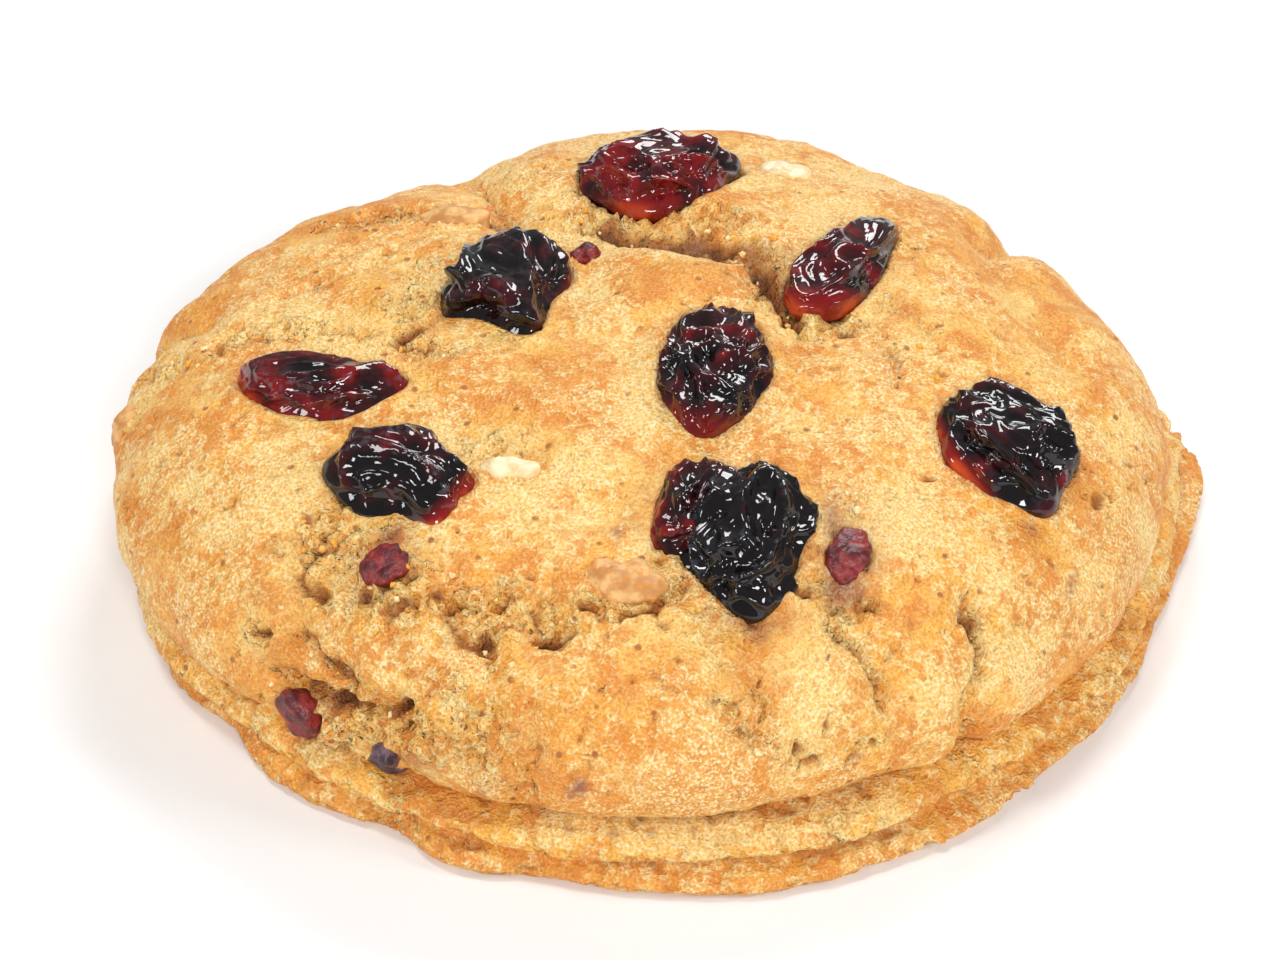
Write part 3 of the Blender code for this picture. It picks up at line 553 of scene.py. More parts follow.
def fine_relief(points, right, back, form):
    """Return the fine relief of the dome's skin, and arrays that its material reads.

    They say how crumbly, how browned, pale (partly a painted sheen) or stained each place is, and how
    deep in a split, pit or shaded hollow, which the material paints as shade.
    """
    wander = sum(noise_vectors_at(points, size, seed) * reach for size, reach, seed in WANDER)
    jag_right = right + wander[:, 0]
    jag_back = back + wander[:, 1]
    crumbly = patches(jag_right, jag_back, CRUMBLY) * 1.3 + noise_at(points, 3.2, 2.0) * 0.8 - 0.3
    open_share = np.clip(noise_at(points, 2.6, 13.0) * 2.5 + 0.7, 0.2, 1.0)
    depth_and_shade = np.zeros_like(right)
    lip = np.zeros_like(right)
    for crack in CRACKS:
        gap = distance_to_route(jag_right, jag_back, crack.route)
        share = np.clip(1.0 - gap / (crack.split_width * 1.6), 0.0, 1.0)
        depth_and_shade = np.maximum(depth_and_shade, crack.split_depth * open_share * share ** 0.8)
        ridge = np.exp(-((gap - crack.split_width * 2.4) / 0.6) ** 2)
        lip = np.maximum(lip, SPLIT_LIP_SHARE * crack.split_depth * open_share * ridge)
        crumbly = np.maximum(crumbly, crack.split_depth * np.exp(-(gap / 0.9) ** 2))
    for pit_right, pit_back, radius, depth in PITS + small_pits():
        gap = np.hypot(jag_right - pit_right, jag_back - pit_back)
        depth_and_shade = np.maximum(depth_and_shade, depth * np.clip(1.35 - gap / radius, 0.0, 1.0))
    crumbly = np.clip(crumbly, 0.0, 1.0)
    height = crust_relief(points) - depth_and_shade + lip * (depth_and_shade < 0.05) + crumbly * crumb_relief(points)
    seat = np.full_like(right, np.inf)
    for piece in BERRIES:
        seat = np.minimum(seat, outline_distance(right, back, piece))
    height += BERRY_LIP_HEIGHT * np.exp(-((seat - 0.5) / 0.5) ** 2)
    height -= BERRY_SEAT_DEPTH * np.clip(-0.1 - seat, 0.0, 1.0)
    # Painted shade: the hollows add to the depth, so that the material darkens them
    depth_and_shade = depth_and_shade + np.clip(patches(jag_right, jag_back, HOLLOWS), 0.0, 1.0)
    edge = np.full_like(right, np.inf)
    for piece in BITS:
        edge = np.minimum(edge, outline_distance(jag_right, jag_back, piece))
    height += BIT_LIP_HEIGHT * np.exp(-((edge - 0.1) / 0.35) ** 2)
    height -= BIT_SEAT_DEPTH * np.clip(-0.2 - edge, 0.0, 1.0)
    stained = patches(jag_right, jag_back, STAINS) + 0.35 * np.exp(-(seat / 0.35) ** 2)
    tone = noise_at(points, 4.5, 8.0) * 1.2 + crust_relief(points) * 1.5 + form * 0.2
    return height, {
        "crumbly": crumbly,
        "depth_and_shade": np.clip(depth_and_shade / 1.1, 0.0, 1.0),
        "browned": np.clip(patches(right, back, BROWNED) + tone, 0.0, 1.0),
        "pale": np.clip(patches(jag_right, jag_back, PALE_AND_SHEEN) - tone, 0.0, 1.0),
        "stained": np.clip(stained, 0.0, 1.0),
    }


def square_to_disc(a, b):
    """Spread places in the square from -1 to 1 evenly over the disc of radius 1."""
    wide = np.abs(a) > np.abs(b)
    radius = np.where(wide, a, b)
    other = np.where(wide, b, a)
    turn = math.pi / 4 * np.divide(other, radius, out=np.zeros_like(a), where=radius != 0.0)
    near = radius * np.cos(turn)
    far = radius * np.sin(turn)
    return np.where(wide, near, far), np.where(wide, far, near)


def dome_grid():
    """Return the dome's points, faces, the indices round its lower edge, and its features."""
    marks = np.linspace(-1.0, 1.0, GRID_CELLS + 1)
    a, b = np.meshgrid(marks, marks)
    right, back = square_to_disc(a.ravel(), b.ravel())
    right = right * SKIRT_DISTANCE
    back = back * SKIRT_DISTANCE
    smooth, _, _, outward = skin_frame(right, back)
    form = form_relief(right, back)
    formed = smooth + outward * form[:, None]
    height, features = fine_relief(formed, right, back, form)
    points = formed + outward * height[:, None]
    row = GRID_CELLS + 1
    last = GRID_CELLS
    steps = np.arange(last)
    corner = (steps[:, None] * row + steps[None, :]).ravel()
    faces = np.stack([corner, corner + 1, corner + row + 1, corner + row], axis=-1)
    loop = np.concatenate([
        steps,
        steps * row + last,
        last * row + last - steps,
        (last - steps) * row,
    ])
    return points, faces, loop, features


def foot_controls(angle):
    """Return the radius and height of each named line round the foot, from the groove down."""
    rim = dome_rim(angle) - SKIRT_TUCK
    bottom = foot_rim(angle) + FOOT_RIPPLE * ripple(angle, *BOTTOM_RIPPLE)
    middle = (dome_rim(angle) + foot_rim(angle)) / 2 + FOOT_RIPPLE * ripple(angle, *MIDDLE_RIPPLE)
    open_share = 1.0 - bumps_at(GROOVE_FILLS, angle)
    groove_depth = GROOVE_DEPTH * open_share * (1.0 + DEPTH_RIPPLE * ripple(angle, *GROOVE_RIPPLE))
    groove = np.minimum(rim, middle) - groove_depth
    fold_depth = FOLD_DEPTH * (1.0 + DEPTH_RIPPLE * ripple(angle, *FOLD_RIPPLE))
    fold = np.minimum(middle, bottom) - fold_depth
    upper_shift = LEVEL_RIPPLE * ripple(angle, *UPPER_RIPPLE)
    lower_shift = LEVEL_RIPPLE * ripple(angle, *LOWER_RIPPLE)
    lines = (
        (groove, GROOVE_HEIGHT + upper_shift),
        ((groove + middle) / 2, MIDDLE_TOP_HEIGHT + upper_shift),
        (middle - LIP_ROUNDING, MIDDLE_LIP_HEIGHT + upper_shift / 2),
        (middle, MIDDLE_LOW_HEIGHT + lower_shift / 2),
        (fold, FOLD_HEIGHT + lower_shift / 2),
        (bottom - SHOULDER_ROUNDING, BOTTOM_TOP_HEIGHT + lower_shift / 2),
        (bottom, BOTTOM_LIP_HEIGHT),
        (bottom - LIP_ROUNDING, BOTTOM_LOW_HEIGHT),
        (bottom - UNDERSIDE_INSET, 0.0),
    )
    return [np.stack([radius, np.zeros_like(angle) + height], axis=-1) for radius, height in lines]


def curve_through(controls, shares):
    """Return lines at the given shares of a smooth curve through the control lines."""
    controls = np.array([controls[0]] + controls + [controls[-1]])
    spans = len(controls) - 3
    lines = []
    for share in shares:
        span = min(int(share * spans), spans - 1)
        t = share * spans - span
        p0, p1, p2, p3 = controls[span:span + 4]
        bend = p0 * (-t + 2 * t ** 2 - t ** 3) + p1 * (2 - 5 * t ** 2 + 3 * t ** 3)
        bend = bend + p2 * (t + 4 * t ** 2 - 3 * t ** 3) + p3 * (-t ** 2 + t ** 3)
        lines.append(bend / 2)
    return np.array(lines)


def foot_grid(edge_points):
    """Return the foot's points below the dome's edge, line by line, and their features."""
    centre = np.array(CENTRE_SHIFT)
    flat = edge_points[:, :2] - centre
    angle = np.arctan2(flat[:, 1], flat[:, 0])
    edge = np.stack([np.hypot(flat[:, 0], flat[:, 1]), edge_points[:, 2]], axis=-1)
    shares = np.linspace(0.0, 1.0, FOOT_LINES + 1)[1:]
    lines = curve_through([edge] + foot_controls(angle), shares)
    slope = np.gradient(lines, axis=0)
    normal = np.stack([-slope[..., 1], slope[..., 0]], axis=-1)
    normal /= np.linalg.norm(normal, axis=-1, keepdims=True)
    around = np.stack([np.cos(angle), np.sin(angle)], axis=-1)
    points = np.concatenate([lines[..., :1] * around + centre, lines[..., 1:]], axis=-1)
    outward = np.concatenate([normal[..., :1] * around, normal[..., 1:]], axis=-1)
    spots = points.reshape(-1, 3)
    crumbly = np.clip(noise_at(spots, 4.0, 3.0) * 1.6 - 0.25, 0.0, 1.0)
    creases = np.abs(noise_at(spots * (1.0, 1.0, 5.0), 5.0, 12.0))
    crease_depth = 0.40 * np.clip(1.0 - creases / 0.10, 0.0, 1.0)
    rough = crust_relief(spots) + crumbly * crumb_relief(spots) * 0.8 - crease_depth
    fade = np.clip((1.0 - shares) * 8.0, 0.0, 1.0) * np.clip(shares * 8.0, 0.3, 1.0)
    rough = rough.reshape(points.shape[:2]) * fade[:, None]
    points = points + outward * rough[..., None]
    points[..., 2] = np.maximum(points[..., 2], 0.0)
    level = lines[..., 1].ravel()
    # Painted shade under the overhangs: the groove under the skirt and the fold between the tiers
    groove_shade = np.exp(-((level - GROOVE_HEIGHT) / 0.3) ** 2)
    groove_shade += np.exp(-((level - FOLD_HEIGHT) / 0.3) ** 2)
    return points.reshape(-1, 3), {
        "crumbly": crumbly * 0.6,
        "depth_and_shade": np.clip(crease_depth * 0.8 + groove_shade * 0.35, 0.0, 1.0),
        "browned": np.clip(1.7 - level / 1.8, 0.0, 1.0),
        "pale": np.clip((level - 2.8) / 1.2, 0.0, 1.0) * 0.1,
        "stained": np.zeros(len(spots)),
    }


def underside_grid(base_points):
    """Return the underside's points, ring by ring towards the middle, and their features."""
    middle = np.array([CENTRE_SHIFT[0], CENTRE_SHIFT[1], 0.0])
    rings = [middle + (base_points - middle) * share for share in UNDERSIDE_SHARES]
    points = np.concatenate(rings + [middle[None, :]])
    lift = noise_at(points, 3.0, 20.0) * 0.5 + noise_at(points, 1.2, 21.0) * 0.3
    points[:, 2] = np.clip(lift, 0.0, 0.4)
    count = len(points)
    return points, {
        "crumbly": np.zeros(count),
        "depth_and_shade": points[:, 2],
        "browned": np.ones(count),
        "pale": np.zeros(count),
        "stained": np.zeros(count),
    }


def make_object(name, points, faces, features):
    """Make one smooth-shaded object from points in millimetres.

    Features are named arrays of one value for each point, which its material reads.
    """
    mesh = bpy.data.meshes.new(name)
    mesh.from_pydata((np.asarray(points) * METRES_PER_MM).tolist(), [], faces)
    mesh.shade_smooth()
    for title, values in features.items():
        attribute = mesh.attributes.new(title, "FLOAT", "POINT")
        attribute.data.foreach_set("value", np.asarray(values, dtype=np.float32))
    item = bpy.data.objects.new(name, mesh)
    bpy.context.scene.collection.objects.link(item)
    return item


def make_dough():
    """Make the whole dough: dome, foot and underside in one closed mesh."""
    points, faces, loop, features = dome_grid()
    foot_points, foot_features = foot_grid(points[loop])
    under_points, under_features = underside_grid(foot_points[-len(loop):])
    all_faces = faces.tolist()
    upper = loop
    lower = len(points) + np.arange(len(loop))
    for _ in range(FOOT_LINES + len(UNDERSIDE_SHARES)):
        bands = np.stack([upper, lower, np.roll(lower, -1), np.roll(upper, -1)], axis=-1)
        all_faces += bands.tolist()
        upper = lower
        lower = lower + len(loop)
    middle = np.full(len(loop), lower[0])
    all_faces += np.stack([middle, np.roll(upper, -1), upper], axis=-1).tolist()
    joined = {
        name: np.concatenate([features[name], foot_features[name], under_features[name]])
        for name in features
    }
    all_points = np.concatenate([points, foot_points, under_points])
    return make_object("baked_dough", all_points, all_faces, joined)


def ball_directions(fineness):
    """Return the directions and faces of an even ball."""
    shape = bmesh.new()
    bmesh.ops.create_icosphere(shape, subdivisions=fineness, radius=1.0)
    directions = np.array([tuple(vertex.co) for vertex in shape.verts])
    faces = [[vertex.index for vertex in face.verts] for face in shape.faces]
    shape.free()
    return directions, faces


def piece_points(piece, directions, grow=0.0):
    """Return a piece's smooth points in its own frame: along, across and out of the skin."""
    around = np.arctan2(directions[:, 1], directions[:, 0])
    flat = np.hypot(directions[:, 0], directions[:, 1])
    radius = (outline_radius(piece.outline, around) + grow) * flat ** (2.0 / PIECE_POWER)
    extent = np.where(directions[:, 2] > 0.0, piece.rise + grow, -piece.sink)
    height = extent * np.abs(directions[:, 2]) ** (2.0 / PIECE_POWER)
    return np.stack([radius * np.cos(around), radius * np.sin(around), height], axis=-1)


def fold_height(points, piece, look):
    """Return the wrinkles of dried fruit, from 0 in the creases to about 1 on the folds."""
    lean = math.radians(look.lean - piece.turn)
    along = points[:, 0] * math.cos(lean) + points[:, 1] * math.sin(lean)
    across = points[:, 1] * math.cos(lean) - points[:, 0] * math.sin(lean)
    places = np.stack([along / look.stretch, across, points[:, 2]], axis=-1)
    size = look.fold_size
    places = places + noise_vectors_at(places, size * 1.6, piece.seed) * size * 0.5
    ridges = 1.0 - np.minimum(1.0, np.abs(noise_at(places, size, piece.seed * 3.1)) * 2.2)
    hills = np.minimum(1.0, np.abs(noise_at(places, size * 0.6, piece.seed * 5.3)) * 2.6)
    small = 1.0 - np.minimum(1.0, np.abs(noise_at(places, size * 0.35, piece.seed * 1.7)) * 3.0)
    return ridges ** 1.3 * 0.70 + hills * 0.16 + small * 0.14


def make_berry(piece):
    """Make one dried cranberry with deep, wandering wrinkles."""
    look = LOOKS[piece.name]
    directions, faces = ball_directions(BERRY_FINENESS)
    points = piece_points(piece, directions, 0.4)
    folds = fold_height(points, piece, look)
    dent = np.clip(noise_at(points, 6.0, piece.seed * 7.7) + 0.1, 0.0, 1.0) * 0.8
    firmness = np.clip(0.4 + points[:, 2] / 1.5, 0.2, 1.0)
    inward = (look.fold_depth * (1.0 - folds) + dent) * firmness
    local = points - directions * inward[:, None]
    return place_piece(piece, local, faces, folds, look)


def make_bit(piece):
    """Make one small piece that is baked into the skin."""
    directions, faces = ball_directions(BIT_FINENESS)
    points = piece_points(piece, directions)
    bumps = noise_at(points, 1.6, piece.seed) * 0.45 + noise_at(points, 0.7, piece.seed) * 0.15
    local = points + directions * bumps[:, None]
    return place_piece(piece, local, faces, 0.5 + bumps, None)


def place_piece(piece, local, faces, folds, look):
    """Put a piece in its place and store what its material reads."""
    here = np.array([piece.right]), np.array([piece.back])
    point, to_right, to_back, outward = (value[0] for value in skin_frame(*here))
    point = point + outward * form_relief(*here)[0]
    turn = math.radians(piece.turn)
    along = to_right * math.cos(turn) + to_back * math.sin(turn)
    across = np.cross(outward, along)
    placed = point + local[:, :1] * along + local[:, 1:2] * across + local[:, 2:] * outward
    level = np.clip(local[:, 2] / piece.rise, 0.0, 1.0)
    features = {"folds": folds, "level": level}
    if look is not None:
        side = math.radians(look.glow_angle - piece.turn)
        reach = local[:, 0] * math.cos(side) + local[:, 1] * math.sin(side)
        glow = reach / np.mean(piece.outline) * 1.6 - level * 1.3 - 0.7
        features["glow"] = np.clip(glow, 0.0, 1.0) * look.glow
        features["redness"] = np.full(len(level), look.redness)
        features["bloom_and_sheen"] = np.full(len(level), look.bloom_and_sheen)
    return make_object(piece.name + "_shown", placed, faces, features)


def make_loose_crumbs():
    """Make the loose crumbs that lie in the broken places, as one mesh."""
    draw = np.random.default_rng(LOOSE_CRUMB_SEED)
    directions, faces = ball_directions(2)
    faces = np.array(faces)
    all_points = []
    all_faces = []
    tones = []
    while len(all_points) < LOOSE_CRUMBS:
        right = draw.uniform(-46.0, 46.0, 1)
        back = draw.uniform(-48.0, 40.0, 1)
        wanted = patches(right, back, CRUMBLY)[0]
        on_berry = min(outline_distance(right, back, piece)[0] for piece in BERRIES) < 0.3
        too_low = math.hypot(right[0], back[0]) > BELLY_DISTANCE
        if on_berry or too_low or draw.random() > wanted:
            continue
        point, _, _, outward = skin_frame(right, back)
        lift = form_relief(right, back)[0] + draw.uniform(*LOOSE_CRUMB_LIFT)
        size = draw.uniform(*LOOSE_CRUMB_SIZE)
        jitter = 1.0 + 0.9 * noise_at(directions * 1.6, 1.0, len(all_points) * 0.37)
        shape = directions * jitter[:, None] * draw.uniform(0.6, 1.3, 3) * size
        all_faces += (faces + len(all_points) * len(directions)).tolist()
        all_points.append(point + outward * lift + shape)
        tones.append(np.full(len(directions), draw.random()))
    features = {"tone": np.concatenate(tones)}
    return make_object("loose_crumbs", np.concatenate(all_points), all_faces, features)


class Shade:
    """A node material that is built up step by step."""

    def __init__(self, name):
        self.material = bpy.data.materials.new(name)
        self.material.use_nodes = True
        self.tree = self.material.node_tree
        self.shader = self.tree.nodes["Principled BSDF"]
        self.place = self.tree.nodes.new("ShaderNodeTexCoord").outputs["Object"]

    def put(self, socket, value):
        """Set a socket to a value, or link it if the value is another node's output."""
        if isinstance(value, bpy.types.NodeSocket):
            self.tree.links.new(value, socket)
        else:
            socket.default_value = value

    def attribute(self, name):
        """Return the values stored on the mesh under a name."""
        node = self.tree.nodes.new("ShaderNodeAttribute")
        node.attribute_name = name
        return node.outputs["Fac"]

    def noise(self, size, detail=3.0, distortion=0.0):
        """Return noise with features of a size in millimetres."""
        mapping = self.tree.nodes.new("ShaderNodeMapping")
        scale = 1.0 / (size * METRES_PER_MM)
        mapping.inputs["Scale"].default_value = (scale, scale, scale)
        mapping.inputs["Location"].default_value = (size, size * 2.0, size * 3.0)
        self.put(mapping.inputs["Vector"], self.place)
        node = self.tree.nodes.new("ShaderNodeTexNoise")
        node.inputs["Scale"].default_value = 1.0
        node.inputs["Detail"].default_value = detail
        node.inputs["Distortion"].default_value = distortion
        self.put(node.inputs["Vector"], mapping.outputs["Vector"])
        return node.outputs["Fac"]

    def cells(self, size):
        """Return the distance from the middles of uneven cells of a size in millimetres."""
        node = self.tree.nodes.new("ShaderNodeTexVoronoi")
        node.inputs["Scale"].default_value = 1.0 / (size * METRES_PER_MM)
        self.put(node.inputs["Vector"], self.place)
        return node.outputs["Distance"]

    def math(self, operation, first, second=0.0, third=0.0):
        """Return a sum, product or other result of up to three values."""
        node = self.tree.nodes.new("ShaderNodeMath")
        node.operation = operation
        for socket, value in zip(node.inputs, (first, second, third)):
            self.put(socket, value)
        return node.outputs["Value"]

    def times(self, first, second):
        """Return the product of two values."""
        return self.math("MULTIPLY", first, second)

    def span(self, value, low, high, to_low=0.0, to_high=1.0):
        """Return a value spread from one range to another, smoothly, and held at its ends."""
        node = self.tree.nodes.new("ShaderNodeMapRange")
        node.interpolation_type = "SMOOTHSTEP"
        names = ("From Min", "From Max", "To Min", "To Max")
        for name, number in zip(names, (low, high, to_low, to_high)):
            node.inputs[name].default_value = number
        self.put(node.inputs["Value"], value)
        return node.outputs["Result"]

    def mix(self, share, first, second):
        """Return a mix of two colours."""
        node = self.tree.nodes.new("ShaderNodeMix")
        node.data_type = "RGBA"
        self.put(node.inputs["Factor"], share)
        self.put(node.inputs["A"], first)
        self.put(node.inputs["B"], second)
        return node.outputs["Result"]

    def bump(self, height, distance, strength=1.0, below=None):
        """Return a surface direction that a height in millimetres roughens."""
        node = self.tree.nodes.new("ShaderNodeBump")
        node.inputs["Strength"].default_value = strength
        node.inputs["Distance"].default_value = distance * METRES_PER_MM
        self.put(node.inputs["Height"], height)
        if below is not None:
            self.put(node.inputs["Normal"], below)
        return node.outputs["Normal"]

    def finish(self, colour, roughness, normal):
        """Link the three main results to the shader and return the material."""
        self.put(self.shader.inputs["Base Color"], colour)
        self.put(self.shader.inputs["Roughness"], roughness)
        self.put(self.shader.inputs["Normal"], normal)
        return self.material


# Colour of white crumb, and of the glints painted on the crust
WHITE_CRUMB_AND_GLINT = (0.97, 0.80, 0.43, 1.0)
CREAM = (0.95, 0.65, 0.21, 1.0)
GOLD = (0.92, 0.45, 0.056, 1.0)
TAN = (0.75, 0.26, 0.024, 1.0)
BROWN = (0.38, 0.110, 0.014, 1.0)
# Colour of the painted shade at the bottom of the deepest splits and pits
SHADE_BROWN = (0.12, 0.036, 0.012, 1.0)
PURPLE = (0.20, 0.035, 0.055, 1.0)


def dough_material():
    """Return the baked dough: mottled gold crust, pale crumb, a grainy skin with painted glints, and
    painted shade in pits, splits, hollows and gaps.
    """
    shade = Shade("baked_dough")
    broad = shade.noise(8.0, 3.0)
    mottle = shade.noise(3.0, 3.0)
    patchy = shade.noise(1.0, 3.0)
    grain = shade.noise(0.26, 2.0)
    cells = shade.cells(0.50)
    specks = shade.cells(2.3)
    crumbly = shade.attribute("crumbly")
    depth_and_shade = shade.attribute("depth_and_shade")
    colour = shade.mix(shade.span(mottle, 0.42, 0.56), TAN, GOLD)
    lift = shade.math("MULTIPLY_ADD", broad, 0.8, shade.times(patchy, 0.6))
    colour = shade.mix(shade.span(lift, 0.64, 0.78, 0.0, 0.9), colour, CREAM)
    # Pale crumb, and the painted sheen low on the front
    pale = shade.times(shade.attribute("pale"), shade.span(patchy, 0.35, 0.6, 0.6, 0.95))
    colour = shade.mix(pale, colour, CREAM)
    broken = shade.times(crumbly, shade.span(patchy, 0.42, 0.56, 0.0, 0.9))
    colour = shade.mix(broken, colour, CREAM)
    # Painted shade in the small gaps of the broken crumb
    gap_shade = shade.times(crumbly, shade.span(patchy, 0.42, 0.34, 0.0, 0.25))
    colour = shade.mix(gap_shade, colour, BROWN)
    browned = shade.times(shade.attribute("browned"), shade.span(patchy, 0.35, 0.65, 0.8, 0.4))
    colour = shade.mix(browned, colour, TAN)
    # White grains: partly sugar and crumb, partly painted glints of light on the crust
    sugar_and_glints = shade.times(shade.span(grain, 0.50, 0.62), shade.span(lift, 0.64, 0.78, 0.25, 0.90))
    colour = shade.mix(sugar_and_glints, colour, WHITE_CRUMB_AND_GLINT)
    colour = shade.mix(shade.span(grain, 0.48, 0.38, 0.0, 0.50), colour, TAN)
    # Painted shade along the borders of the grains
    colour = shade.mix(shade.span(cells, 0.55, 0.80, 0.0, 0.15), colour, BROWN)
    speckled = shade.times(shade.span(specks, 0.17, 0.08), shade.span(mottle, 0.44, 0.56, 0.0, 0.9))
    colour = shade.mix(speckled, colour, BROWN)
    # Painted shade: splits, pits, hollows and the foot's grooves darken to brown, and to near black where
    # deepest
    colour = shade.mix(shade.span(depth_and_shade, 0.12, 0.7, 0.0, 0.85), colour, BROWN)
    colour = shade.mix(shade.span(depth_and_shade, 0.7, 1.0, 0.0, 0.7), colour, SHADE_BROWN)
    colour = shade.mix(shade.times(shade.attribute("stained"), 0.8), colour, PURPLE)
    coarse = shade.bump(shade.times(patchy, shade.span(crumbly, 0.2, 0.8, 0.5, 1.5)), 0.8, 0.9)
    bumpy = shade.bump(shade.times(cells, -1.0), 0.10, 0.8, coarse)
    fine = shade.bump(grain, 0.26, 1.0, bumpy)
    return shade.finish(colour, shade.span(mottle, 0.3, 0.7, 0.65, 0.42), fine)


BLACK_BERRY = (0.003, 0.0015, 0.0022, 1.0)
MAROON = (0.040, 0.002, 0.004, 1.0)
RED = (0.22, 0.004, 0.005, 1.0)
ORANGE = (0.60, 0.070, 0.010, 1.0)
# Colour of the bloom and painted sheen on the berries' fold tops
BLOOM_AND_SHEEN = (0.13, 0.17, 0.22, 1.0)
BERRY_GLOSS = {
    "Specular IOR Level": 0.05, "Coat Weight": 1.0, "Coat IOR": 1.5, "Coat Roughness": 0.03,
}


def berry_material(name):
    """Return a glossy dried cranberry: near black, red where light glows through it, with painted shade
    in its creases and a bloom and painted sheen on its folds.
    """
    shade = Shade(name)
    folds = shade.attribute("folds")
    redness = shade.attribute("redness")
    patchy = shade.noise(3.0, 3.0)
    small = shade.noise(0.7, 3.0)
    hue = shade.math("MULTIPLY_ADD", patchy, 2.4, shade.math("SUBTRACT", redness, 1.35))
    # Painted shade: the creases are darker and the fold tops redder
    hue = shade.math("MULTIPLY_ADD", folds, 0.4, hue)
    colour = shade.mix(shade.span(hue, 0.0, 0.5), BLACK_BERRY, MAROON)
    colour = shade.mix(shade.span(hue, 0.45, 0.95, 0.0, 0.9), colour, RED)
    glow = shade.attribute("glow")
    colour = shade.mix(shade.span(glow, 0.1, 0.6, 0.0, 0.9), colour, RED)
    rim = shade.span(shade.attribute("level"), 0.08, 0.32, 1.0, 0.0)
    lit = shade.times(shade.span(glow, 0.30, 0.75), shade.span(patchy, 0.42, 0.58, 0.1, 1.0))
    colour = shade.mix(shade.times(lit, rim), colour, ORANGE)
    # A grey-blue film on the fold tops: partly bloom, partly a painted sheen
    sheen_film = shade.times(shade.attribute("bloom_and_sheen"), shade.span(small, 0.50, 0.70))
    colour = shade.mix(shade.times(sheen_film, shade.span(folds, 0.4, 0.9)), colour, BLOOM_AND_SHEEN)
    for socket, value in BERRY_GLOSS.items():
        shade.shader.inputs[socket].default_value = value
    wander = shade.math("SUBTRACT", shade.noise(1.3, 2.0, 0.6), 0.5)
    wrinkles = shade.bump(shade.math("ABSOLUTE", wander), 0.5, 0.4)
    return shade.finish(colour, 0.5, wrinkles)


def plain_material(name, colours, size, roughness):
    """Return a mottled material of three colours, for a small piece baked into the dough."""
    shade = Shade(name)
    colour = shade.mix(shade.span(shade.noise(size, 4.0), 0.38, 0.60), colours[0], colours[1])
    colour = shade.mix(shade.span(shade.noise(0.5, 2.0), 0.54, 0.66, 0.0, 0.6), colour, colours[2])
    return shade.finish(colour, roughness, shade.bump(shade.noise(0.5, 3.0), 0.2, 0.8))


def crumb_material():
    """Return the loose crumbs: gold to cream, each with a tone of its own."""
    shade = Shade("loose_crumbs")
    colour = shade.mix(shade.span(shade.attribute("tone"), 0.1, 0.9), GOLD, WHITE_CRUMB_AND_GLINT)
    colour = shade.mix(shade.span(shade.noise(0.4, 2.0), 0.5, 0.65, 0.0, 0.5), colour, TAN)
    return shade.finish(colour, 0.7, shade.bump(shade.noise(0.35, 3.0), 0.12, 0.8))


def dress(item, material, replaced):
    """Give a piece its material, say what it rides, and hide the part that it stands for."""
    item.data.materials.append(material)
    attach(item, "root")
    if replaced is not None:
        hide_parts(replaced)


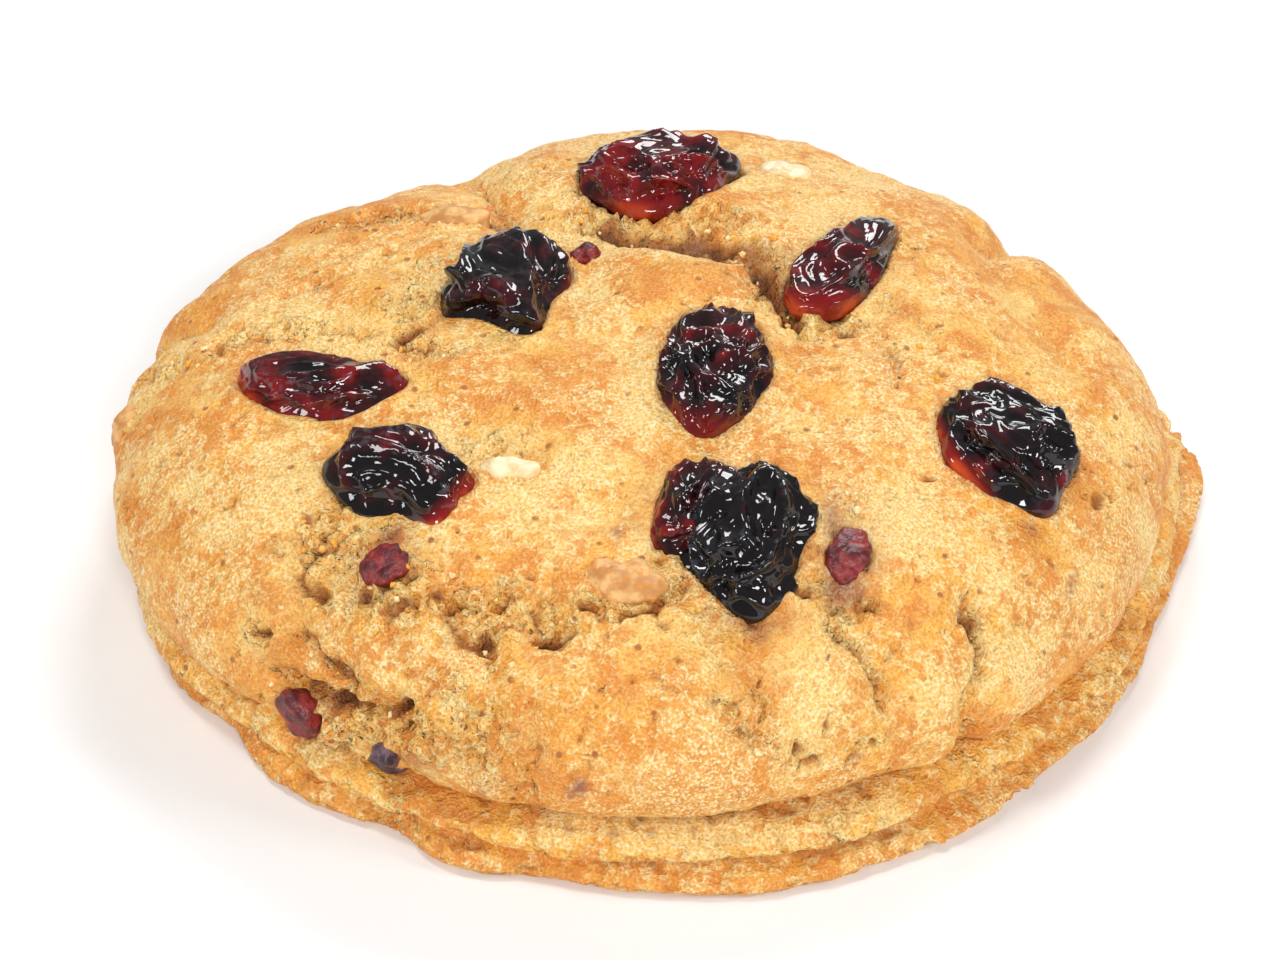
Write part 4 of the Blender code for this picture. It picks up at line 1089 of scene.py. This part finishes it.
def make_pieces():
    """Make every piece, give it its material and hide the node that it stands for."""
    dress(make_dough(), dough_material(), "dough")
    berry_materials = {kind: berry_material(kind) for kind in ("dark_berry", "red_berry")}
    for piece in BERRIES:
        dress(make_berry(piece), berry_materials[piece.kind], piece.name)
    red_skin = ((0.080, 0.004, 0.008, 1.0), (0.26, 0.022, 0.020, 1.0), MAROON)
    dark_skin = ((0.04, 0.016, 0.024, 1.0), (0.16, 0.09, 0.11, 1.0), MAROON)
    nut = ((0.56, 0.24, 0.060, 1.0), (0.80, 0.46, 0.17, 1.0), TAN)
    chip = ((0.84, 0.60, 0.30, 1.0), (0.90, 0.74, 0.46, 1.0), WHITE_CRUMB_AND_GLINT)
    bit_materials = {
        "red_berry": plain_material("cranberry_skin", red_skin, 1.3, 0.4),
        "dark_berry": plain_material("dark_cranberry_skin", dark_skin, 1.3, 0.4),
        "pecan": plain_material("pecan", nut, 1.5, 0.5),
        "pale_chip": plain_material("pale_chip", chip, 1.6, 0.35),
    }
    for piece in BITS:
        dress(make_bit(piece), bit_materials[piece.kind], piece.name)
    dress(make_loose_crumbs(), crumb_material(), None)


def make_camera():
    """Make the camera at the photo's angle."""
    data = bpy.data.cameras.new("camera")
    data.lens = CAMERA_LENS
    data.sensor_width = CAMERA_SENSOR
    camera = bpy.data.objects.new("camera", data)
    elevation = math.radians(CAMERA_ELEVATION)
    away = Vector((0.0, -math.cos(elevation), math.sin(elevation)))
    camera.location = (Vector(CAMERA_TARGET) + away * CAMERA_DISTANCE) * METRES_PER_MM
    camera.rotation_euler = (math.radians(90.0 - CAMERA_ELEVATION), 0.0, 0.0)
    bpy.context.scene.collection.objects.link(camera)
    bpy.context.scene.camera = camera


def make_lights():
    """Make the soft square lights, which all face the cookie, and the pale surroundings."""
    for name, (place, size, watts) in LIGHTS.items():
        data = bpy.data.lights.new(name, "AREA")
        data.shape = "SQUARE"
        data.size = size
        data.energy = watts
        light = bpy.data.objects.new(name, data)
        light.location = place
        light.rotation_euler = Vector(place).to_track_quat("Z", "Y").to_euler()
        bpy.context.scene.collection.objects.link(light)
    world = bpy.data.worlds.new("studio")
    world.use_nodes = True
    background = world.node_tree.nodes["Background"]
    background.inputs["Color"].default_value = (1.0, 1.0, 1.0, 1.0)
    background.inputs["Strength"].default_value = WORLD_STRENGTH
    bpy.context.scene.world = world
    bpy.context.scene.view_settings.view_transform = "Standard"


def make_floor():
    """Make the pale floor that the cookie rests on."""
    mesh = bpy.data.meshes.new("floor")
    signs = ((-1, -1), (1, -1), (1, 1), (-1, 1))
    corners = [(x * FLOOR_REACH, y * FLOOR_REACH, 0.0) for x, y in signs]
    mesh.from_pydata(corners, [], [(0, 1, 2, 3)])
    floor = bpy.data.objects.new("floor", mesh)
    bpy.context.scene.collection.objects.link(floor)
    paint = bpy.data.materials.new("floor")
    paint.use_nodes = True
    shader = paint.node_tree.nodes["Principled BSDF"]
    shader.inputs["Base Color"].default_value = FLOOR_COLOUR
    shader.inputs["Roughness"].default_value = 0.9
    mesh.materials.append(paint)


make_pieces()
make_camera()
make_lights()
make_floor()
